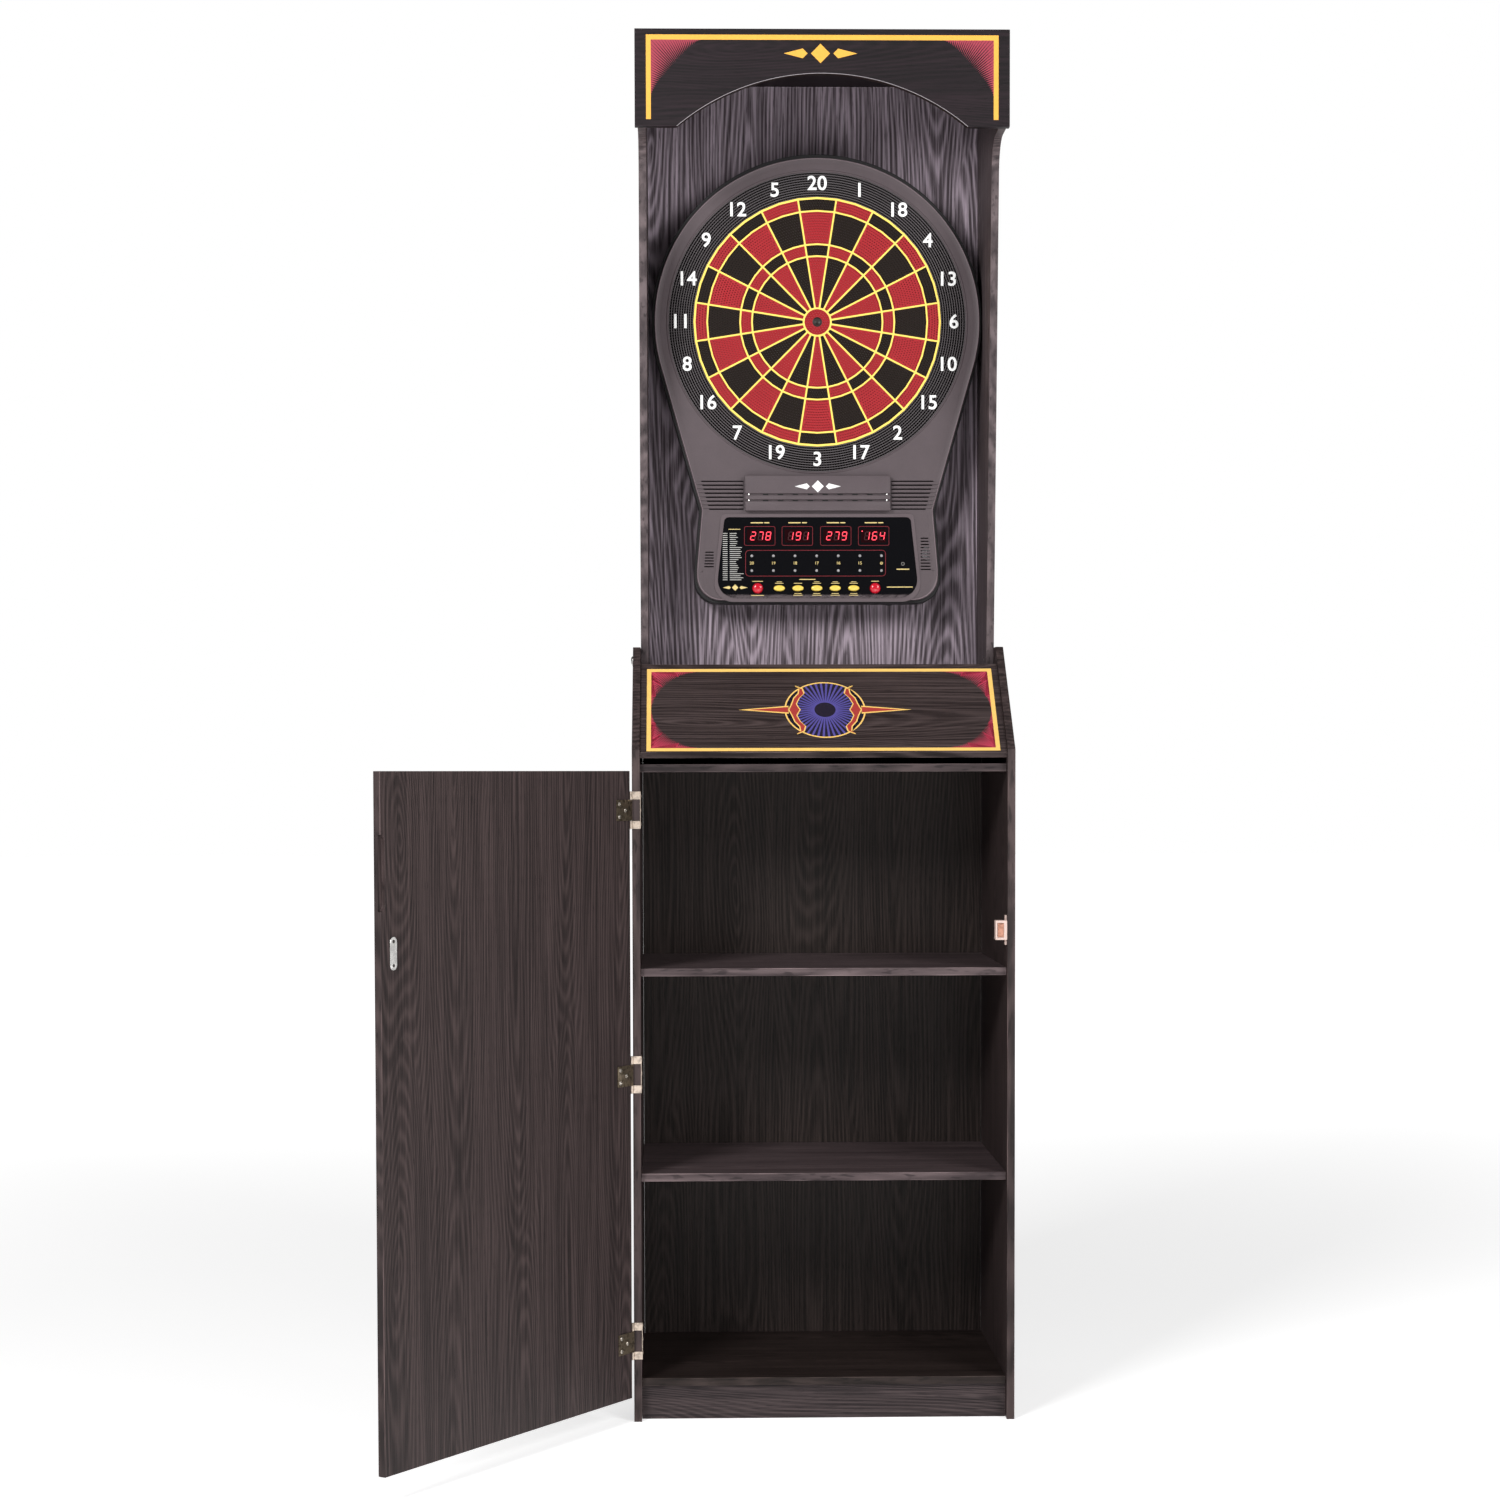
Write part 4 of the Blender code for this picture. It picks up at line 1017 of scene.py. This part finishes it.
def number_ring():
    """A black ring with a lattice of concentric and radial ribs, and its white numerals."""
    black = moulded("ring_black", (0.028, 0.024, 0.025), 0.45, 0.00006, shine=0.12)
    # painted highlight: the concentric ribs take a lighter copy of the ring's black
    pale = moulded("ring_edges", (0.110, 0.098, 0.102), 0.45, 0.00006, shine=0.15)
    # painted shade: the floor between the ribs is a near-black, dull copy of the ring's black
    painted_pit_shade = moulded("ring_pit", (0.002, 0.002, 0.002), 0.8, 0.00006, shine=0.05)
    inner, outer = SPIDER_RADIUS + 0.0003, NUMBER_RADIUS
    root = RING_FLOOR + 0.0002

    def band(low, high, top, bottom):
        return turned([(low, -top), (high, -top), (high, -bottom), (low, -bottom), (low, -top)], 160)

    width = 0.0010
    circles = []
    for index in range(RING_CIRCLES):
        low = inner + (outer - inner - width) * index / (RING_CIRCLES - 1)
        circles.append(band(low, low + width, RING_TOP, root))
    rib = block((inner + 0.0002, -0.0004, -root), (outer - 0.0002, 0.0004, -RING_TOP - 0.0004))
    spokes = [(rib, Matrix.Rotation(math.tau * (index + 0.5) / RING_SPOKES, 4, "Z"))
              for index in range(RING_SPOKES)]
    for name, parts, look in (("floor", [band(inner, outer, RING_FLOOR, RING_BACK)], painted_pit_shade),
                              ("circles", circles, pale), ("lattice", spokes, black)):
        mesh = merged(parts)
        mesh.transform(on_head(0.0))
        piece("number_ring_" + name, mesh, look, "black_plastic", replaces=("number_ring",), smooth=25)
    numerals = []
    for index, number in enumerate(ORDER):
        place = polar(NUMERAL_RADIUS, QUARTER - math.tau * index / SECTORS)
        numerals.append(lettering(str(number), NUMERAL_SIZE, 0.00060, place, RING_TOP - 0.0006, 0.0008))
    white = moulded("numeral_white", WHITE, 0.4, 0.00004, mottle=0.05)
    piece("numerals", merged(numerals), white, "black_plastic", smooth=30)


def bed_outline(inner, outer):
    """One scoring bed at the top of the board, round the bull."""
    points = []
    for radius, way in ((inner + HALF_RIB, -1), (outer - HALF_RIB, 1)):
        half = math.pi / SECTORS - math.asin(HALF_RIB / radius)
        points += [polar(radius, QUARTER + way * half * share) for share in (-1, -0.5, 0, 0.5, 1)]
    return points


def bed_holes(inner, outer):
    """Small holes in staggered rows across one bed."""
    rows = max(2, round((outer - inner - 2 * HALF_RIB) / HOLE_PITCH))
    margin = HOLE_RADIUS + 0.0007
    low, high = inner + HALF_RIB + margin, outer - HALF_RIB - margin
    holes = []
    for row in range(rows):
        radius = low + (high - low) * row / (rows - 1)
        room = radius * (math.pi / SECTORS - math.asin(HALF_RIB / radius)) - margin
        if room < 0:
            continue
        columns = int(2 * room / HOLE_PITCH) + 1
        if (columns + row) % 2 and columns > 1:
            columns -= 1
        for column in range(columns):
            angle = QUARTER + (column - (columns - 1) / 2) * HOLE_PITCH / radius
            holes.append(circle(polar(radius, angle), HOLE_RADIUS, 6))
    return holes


def sunk(depth):
    """A move back from the flat plane."""
    return Matrix.Translation((0, 0, -depth))


def beds():
    """Eighty separate segments in perforated plastic, red and black by turns."""
    red = moulded("bed_red", BED_RED, 0.42, 0.00006, 1100.0)
    black = moulded("bed_black", BED_BLACK, 0.40, 0.00006, 1100.0, shine=0.18)
    thick = BED_BACK - BED_FRONT - BED_SKIN + LAP
    for body, (inner, outer, node) in BANDS.items():
        outline = bed_outline(inner, outer)
        skin = flat([outline] + bed_holes(inner, outer), BED_SKIN, sunk(BED_SKIN / 2))
        segment = merged([skin, flat([outline], thick, sunk(BED_SKIN - LAP + thick / 2))])
        first = 0 if "single" in body else 1
        for colour, look, start in (("red", red, first), ("black", black, 1 - first)):
            mesh = merged([(segment, Matrix.Rotation(-math.tau * index / SECTORS, 4, "Z"))
                           for index in range(start, SECTORS, 2)])
            mesh.transform(on_head(BED_FRONT))
            piece(f"{body}_{colour}", mesh, look, "segment_plastic", body, (node,))


def spider_and_bull():
    """The yellow wires, and the two bulls with their rings of holes."""
    dress("spider_grid", moulded("wire_yellow", WIRE_YELLOW, 0.38, 0.00003, mottle=0.06), 0.00025)
    red = moulded("bull_red_plastic", BED_RED, 0.40, 0.00005, 1100.0, 0.08)
    black = moulded("bull_black_plastic", BED_BLACK, 0.40, 0.00005, 1100.0, 0.08)
    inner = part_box("double_bull")[1].x - BULL_X
    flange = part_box("single_bull")[1].x - BULL_X - 0.0001
    outer, bore = flange - 0.0017, inner + 0.0004
    outlines = [circle((0, 0), outer, 48), circle((0, 0), bore, 32)]
    for radius, count in ((0.0106, 15), (0.0142, 21), (0.0178, 27)):
        outlines += [circle(centre, HOLE_RADIUS, 6) for centre in circle((0, 0), radius, count)]
    plate = flat(outlines, BED_SKIN, sunk(BED_SKIN / 2))
    top = -BED_SKIN + LAP
    core = turned([(bore, top), (outer, top), (outer, -0.0086), (flange, -0.0086), (flange, -BED_BACK),
                   (bore, -BED_BACK), (bore, top)], 48)
    cap = turned([(0, -0.0012), (inner * 0.35, -0.0010), (inner * 0.55, -0.0002), (inner * 0.86, 0.0),
                  (inner, -0.0006), (inner, -BED_BACK), (0, -BED_BACK)])
    for name, mesh, look, body, slot, node, smooth in (
            ("single_bull_ring", merged([plate, core]), red, "outer_bull", "bull_red", "single_bull", 30),
            ("double_bull_cap", cap, black, "inner_bull", "bull_black", "double_bull", 35)):
        mesh.transform(on_head(0.0))
        piece(name, mesh, look, slot, body, (node,), smooth)


# ---- display window ----
def dash(x, z, length, height=0.0014):
    """A printed dash about its centre."""
    return oblong((x - length / 2, z - height / 2), (x + length / 2, z + height / 2), height * 0.3, 2)


def window():
    """The black window, its red frames, labels, figures and lamps."""
    dress("display_window", glossy("window_black", (0.004, 0.004, 0.005)), 0.0003)
    place = on_head(WINDOW_INK)
    frames = [oblong((-0.1165, -0.4070), (0.1102, -0.3648), 0.0060),
              oblong((-0.1157, -0.4062), (0.1094, -0.3656), 0.0053)]
    for x in DISPLAYS:
        for wide, tall, radius in ((0.0250, 0.0155, 0.0030), (0.0243, 0.0148, 0.0024)):
            frames.append(oblong((x - wide, DISPLAY_Z - tall), (x + wide, DISPLAY_Z + tall), radius))
    ink("display_frames", frames, place, printed("frame_red", (0.20, 0.010, 0.018), 0.3), "window_gloss")
    figures(place)
    lamps(place)
    labels(place)


def figure_segments(x, z):
    """The seven bars of one slanted figure, by letter."""
    wide, tall, bar = 0.0068, 0.0063, 0.0012
    bars = {"a": (0, tall, 1), "d": (0, -tall, 1), "g": (0, 0, 1), "f": (-wide / 2, tall / 2, 0),
            "b": (wide / 2, tall / 2, 0), "e": (-wide / 2, -tall / 2, 0), "c": (wide / 2, -tall / 2, 0)}
    made = {}
    for letter, (cx, cz, level) in bars.items():
        long = (wide if level else tall) / 2 - 0.0003
        half = bar / 2
        ends = [(-long, 0), (-long + half, half), (long - half, half), (long, 0), (long - half, -half),
                (-long + half, -half)]
        points = []
        for across, up in ends:
            across, up = (across, up) if level else (up, across)
            points.append((x + cx + across + 0.16 * (cz + up), z + cz + up))
        made[letter] = points
    return made


def figures(place):
    """The lit score in each display, over its unlit bars and dark module face."""
    lit, unlit, faces = [], [], []
    for x, score in zip(DISPLAYS, SCORES):
        faces.append(oblong((x - 0.0205, DISPLAY_Z - 0.0108), (x + 0.0205, DISPLAY_Z + 0.0108), 0.0008))
        for index, figure in enumerate(score):
            bars = figure_segments(x + 0.0016 + (index - 1) * 0.0122, DISPLAY_Z)
            for letter, points in bars.items():
                (lit if letter in SEGMENTS_OF[figure] else unlit).append(points)
    lit.append(circle((DISPLAYS[3] - 0.0185, DISPLAY_Z + 0.0076), 0.0010, 12))
    ink("display_faces", faces, place, glossy("module_face", (0.012, 0.002, 0.003)), "led_module")
    over = on_head(WINDOW_INK - INK)
    ink("unlit_bars", unlit, over, printed("bar_unlit", (0.040, 0.005, 0.007), 0.3), "led_module")
    ink("lit_bars", lit, over, glowing("bar_lit", LED_RED, 1.15), "led_module")


def lamps(place):
    """Two rows of unlit lamps with a number between each pair, and the ring of the indicator."""
    dome = turned([(0, 0.0016), (0.0011, 0.0014), (0.0019, 0.0008), (0.0023, 0.0), (0.0023, -0.0004),
                   (0, -0.0004)], 16)
    face = on_head(WINDOW_Y - FACE_Y)
    domes = [(dome, face @ Matrix.Translation((x, z, 0))) for x in LAMP_COLUMNS for z in LAMP_ROWS]
    smoke = glossy("lamp_smoke", (0.34, 0.33, 0.34))
    piece("lamp_domes", merged(domes), smoke, "window_gloss", smooth=40)
    middle = sum(LAMP_ROWS) / 2
    eye = [circle((LAMP_COLUMNS[6], middle), radius, steps)
           for radius, steps in ((0.0023, 20), (0.0015, 16), (0.0007, 10))]
    texts = [lettering(number, 0.0066, 0.00008, (x, middle), WINDOW_INK - 0.00008, INK)
             for x, number in zip(LAMP_COLUMNS, LAMP_NUMBERS)]
    texts.append(flat(eye, INK, place))
    piece("lamp_numbers", merged(texts), printed("label_gold", LABEL_YELLOW), "window_gloss")
    ring = [circle(INDICATOR, 0.0028, 24), circle(INDICATOR, 0.0019, 20)]
    ink("indicator_ring", ring, place, printed("ring_grey", (0.20, 0.19, 0.18)), "window_gloss")


def labels(place):
    """Plain dashes where the window carries words: place, length and height of each."""
    words = []
    for x in DISPLAYS:
        words += [(x - 0.0045, -0.3210, 0.0200, 0.0017), (x + 0.0115, -0.3210, 0.0080, 0.0017)]
    for index, x in enumerate(YELLOW_BUTTONS):
        words.append((x, BUTTONS_Z + 0.0080, 0.0135, 0.0009))
        if index != 1:
            words.append((x, BUTTONS_Z + 0.0103, 0.0085, 0.0009))
        if index:
            words += [(x, BUTTONS_Z - 0.0084, 0.0115, 0.0009), (x, BUTTONS_Z - 0.0112, 0.0150, 0.0009)]
    left, right = RED_BUTTONS
    words += [(-0.0165, BUTTONS_Z + 0.0142, 0.0260, 0.0013), (left, BUTTONS_Z + 0.0112, 0.0175, 0.0010),
              (right, BUTTONS_Z + 0.0112, 0.0125, 0.0010), (left, BUTTONS_Z - 0.0114, 0.0205, 0.0010),
              (INDICATOR[0], -0.3957, 0.0205, 0.0017), (0.1330, BUTTONS_Z + 0.0018, 0.0420, 0.0015),
              (-0.1340, -0.3314, 0.0190, 0.0010)]
    yellow = [dash(*word) for word in words] + emblem_mark(0.040, (-0.1330, BUTTONS_Z + 0.0012))
    lengths = random.Random(7)
    white = []
    for index in range(LIST_ROWS):
        z = -0.3380 - 0.0745 * index / (LIST_ROWS - 1)
        length = lengths.uniform(0.0095, 0.0150) + (0.0075 if 6 < index < 13 or index > 19 else 0)
        white += [dash(-0.1490, z, 0.0078, 0.0010), dash(-0.1416 + length / 2, z, length, 0.0010)]
    ink("label_dashes", yellow, place, printed("dash_gold", LABEL_YELLOW), "window_gloss")
    ink("list_dashes", white, place, printed("dash_white", (0.46, 0.45, 0.43)), "window_gloss")


def buttons():
    """Domed caps over their flanges, red and round or yellow and oval."""
    red = moulded("button_red", (0.520, 0.006, 0.020), 0.22, 0.00002, mottle=0.05, coat=0.6)
    yellow = moulded("button_yellow", (0.780, 0.560, 0.090), 0.30, 0.00002, mottle=0.05, coat=0.3)
    flange, root, foot = 0.0013, -0.0078, -0.0090
    for kind, look, places, drop in (("red", red, RED_BUTTONS, 0.0020),
                                     ("yellow", yellow, YELLOW_BUTTONS, 0.0010)):
        dome = [(0, 0), (0.35, -drop * 0.10), (0.62, -drop * 0.34), (0.82, -drop * 0.72),
                (0.93, -drop * 1.15), (0.985, -drop * 1.7), (1.0, -drop * 2.4)]
        for index in range(1, len(places) + 1):
            name = f"{kind}_button_{index}"
            low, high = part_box(name)
            depth = high.y - low.y
            profile = dome + [(1.0, root), (1.0, root, flange), (1.0, foot, flange), (1.0, foot),
                              (1.0, -depth), (0, -depth)]
            half = ((high.x - low.x) / 2 - flange, (high.z - low.z) / 2 - flange)
            mesh = turned(profile, 40, half)
            mesh.transform(at(((low.x + high.x) / 2, low.y, (low.z + high.z) / 2), QUARTER))
            piece(name + "_cap", mesh, look, "button_" + kind, name, (name,), 35)


def inside_pieces():
    """What lies behind the face: sheet, foam, board, display modules and speaker."""
    dress("sensor_membrane", glossy("membrane_clear", (0.30, 0.32, 0.30)))
    dress("foam_pad", moulded("foam_grey", (0.10, 0.10, 0.11), 0.9, 0.0005, 500.0, 0.15))
    dress("circuit_board", moulded("board_green", (0.015, 0.110, 0.040), 0.35, 0.00004, 700.0, 0.2), 0.0002)
    module = moulded("module_black", (0.015, 0.014, 0.014), 0.4, 0.00004)
    for index in range(1, len(DISPLAYS) + 1):
        dress(f"led_display_{index}", module, 0.0004)
    dress("speaker", metal("speaker_frame", (0.35, 0.35, 0.36), 0.4, 0.3), 0.0004)


# ---- stage ----
def stage():
    """A pale floor, soft lights and the camera."""
    shape = bmesh.new()
    bmesh.ops.create_grid(shape, x_segments=1, y_segments=1, size=30.0)
    floor = bpy.data.objects.new("studio_floor", finished(shape))
    bpy.context.scene.collection.objects.link(floor)
    paint, shader, place = begun("floor_paint")
    cloud = place.noise(0.8, 3.0).blend((0.88, 0.88, 0.88), (0.92, 0.92, 0.92))
    away = Field(place.node("VectorMath", {"operation": "LENGTH"}, _0=place).outputs["Value"])
    feed(shader, Base_Color=cloud, Roughness=0.9, Emission_Color=(1.0, 1.0, 1.0, 1.0),
         Emission_Strength=away.ramp(0.8, 6.0) * (FLOOR_FAR - FLOOR_NEAR) + FLOOR_NEAR)
    floor.data.materials.append(paint)
    world = bpy.data.worlds.new("studio")
    bpy.context.scene.world = world
    world.use_nodes = True
    seen = Field(put(world.node_tree, "LightPath").outputs["Is Camera Ray"])
    feed(world.node_tree.nodes["Background"], Color=(1.0, 1.0, 1.0, 1.0),
         Strength=seen * (1.0 - AMBIENT) + AMBIENT)
    lamp("key_light", (-2.0, -3.2, 2.75), (0.0, 0.1, 1.30), 1.1, KEY_POWER)
    lamp("fill_light", (2.2, -3.0, 2.55), (0.0, 0.1, 1.20), 1.3, FILL_POWER)
    lamp("low_light", (0.5, -3.3, 0.55), (0.0, 0.1, 0.30), 0.8, LOW_POWER)
    camera()
    bpy.context.scene.view_settings.view_transform = "Standard"


def lamp(name, place, target, size, power):
    """A square soft light that faces a point."""
    light = bpy.data.lights.new(name, "AREA")
    light.size = size
    light.energy = power
    obj = bpy.data.objects.new(name, light)
    obj.location = place
    obj.rotation_euler = (Vector(target) - Vector(place)).to_track_quat("-Z", "Y").to_euler()
    bpy.context.scene.collection.objects.link(obj)


def camera():
    """A long lens from a little left of the middle at waist height, its frame shifted upwards."""
    data = bpy.data.cameras.new("camera")
    data.sensor_width = 36.0
    data.lens = 67.158
    data.shift_x = 0.0085
    data.shift_y = 0.0939
    data.clip_end = 100.0
    obj = bpy.data.objects.new("camera", data)
    yaw, pitch, roll = 0.02117, -0.04178, -0.00242
    obj.matrix_world = (at((-0.22387, -4.30934, 0.99908), -yaw, "Z") @ at((0, 0, 0), QUARTER + pitch)
                        @ at((0, 0, 0), roll, "Z"))
    bpy.context.scene.collection.objects.link(obj)
    bpy.context.scene.camera = obj


stage()
cabinet()
header_print()
console_print()
bolts()
hinges()
door_trim()
catch()
housing()
dart_holder()
number_ring()
beds()
spider_and_bull()
window()
buttons()
inside_pieces()
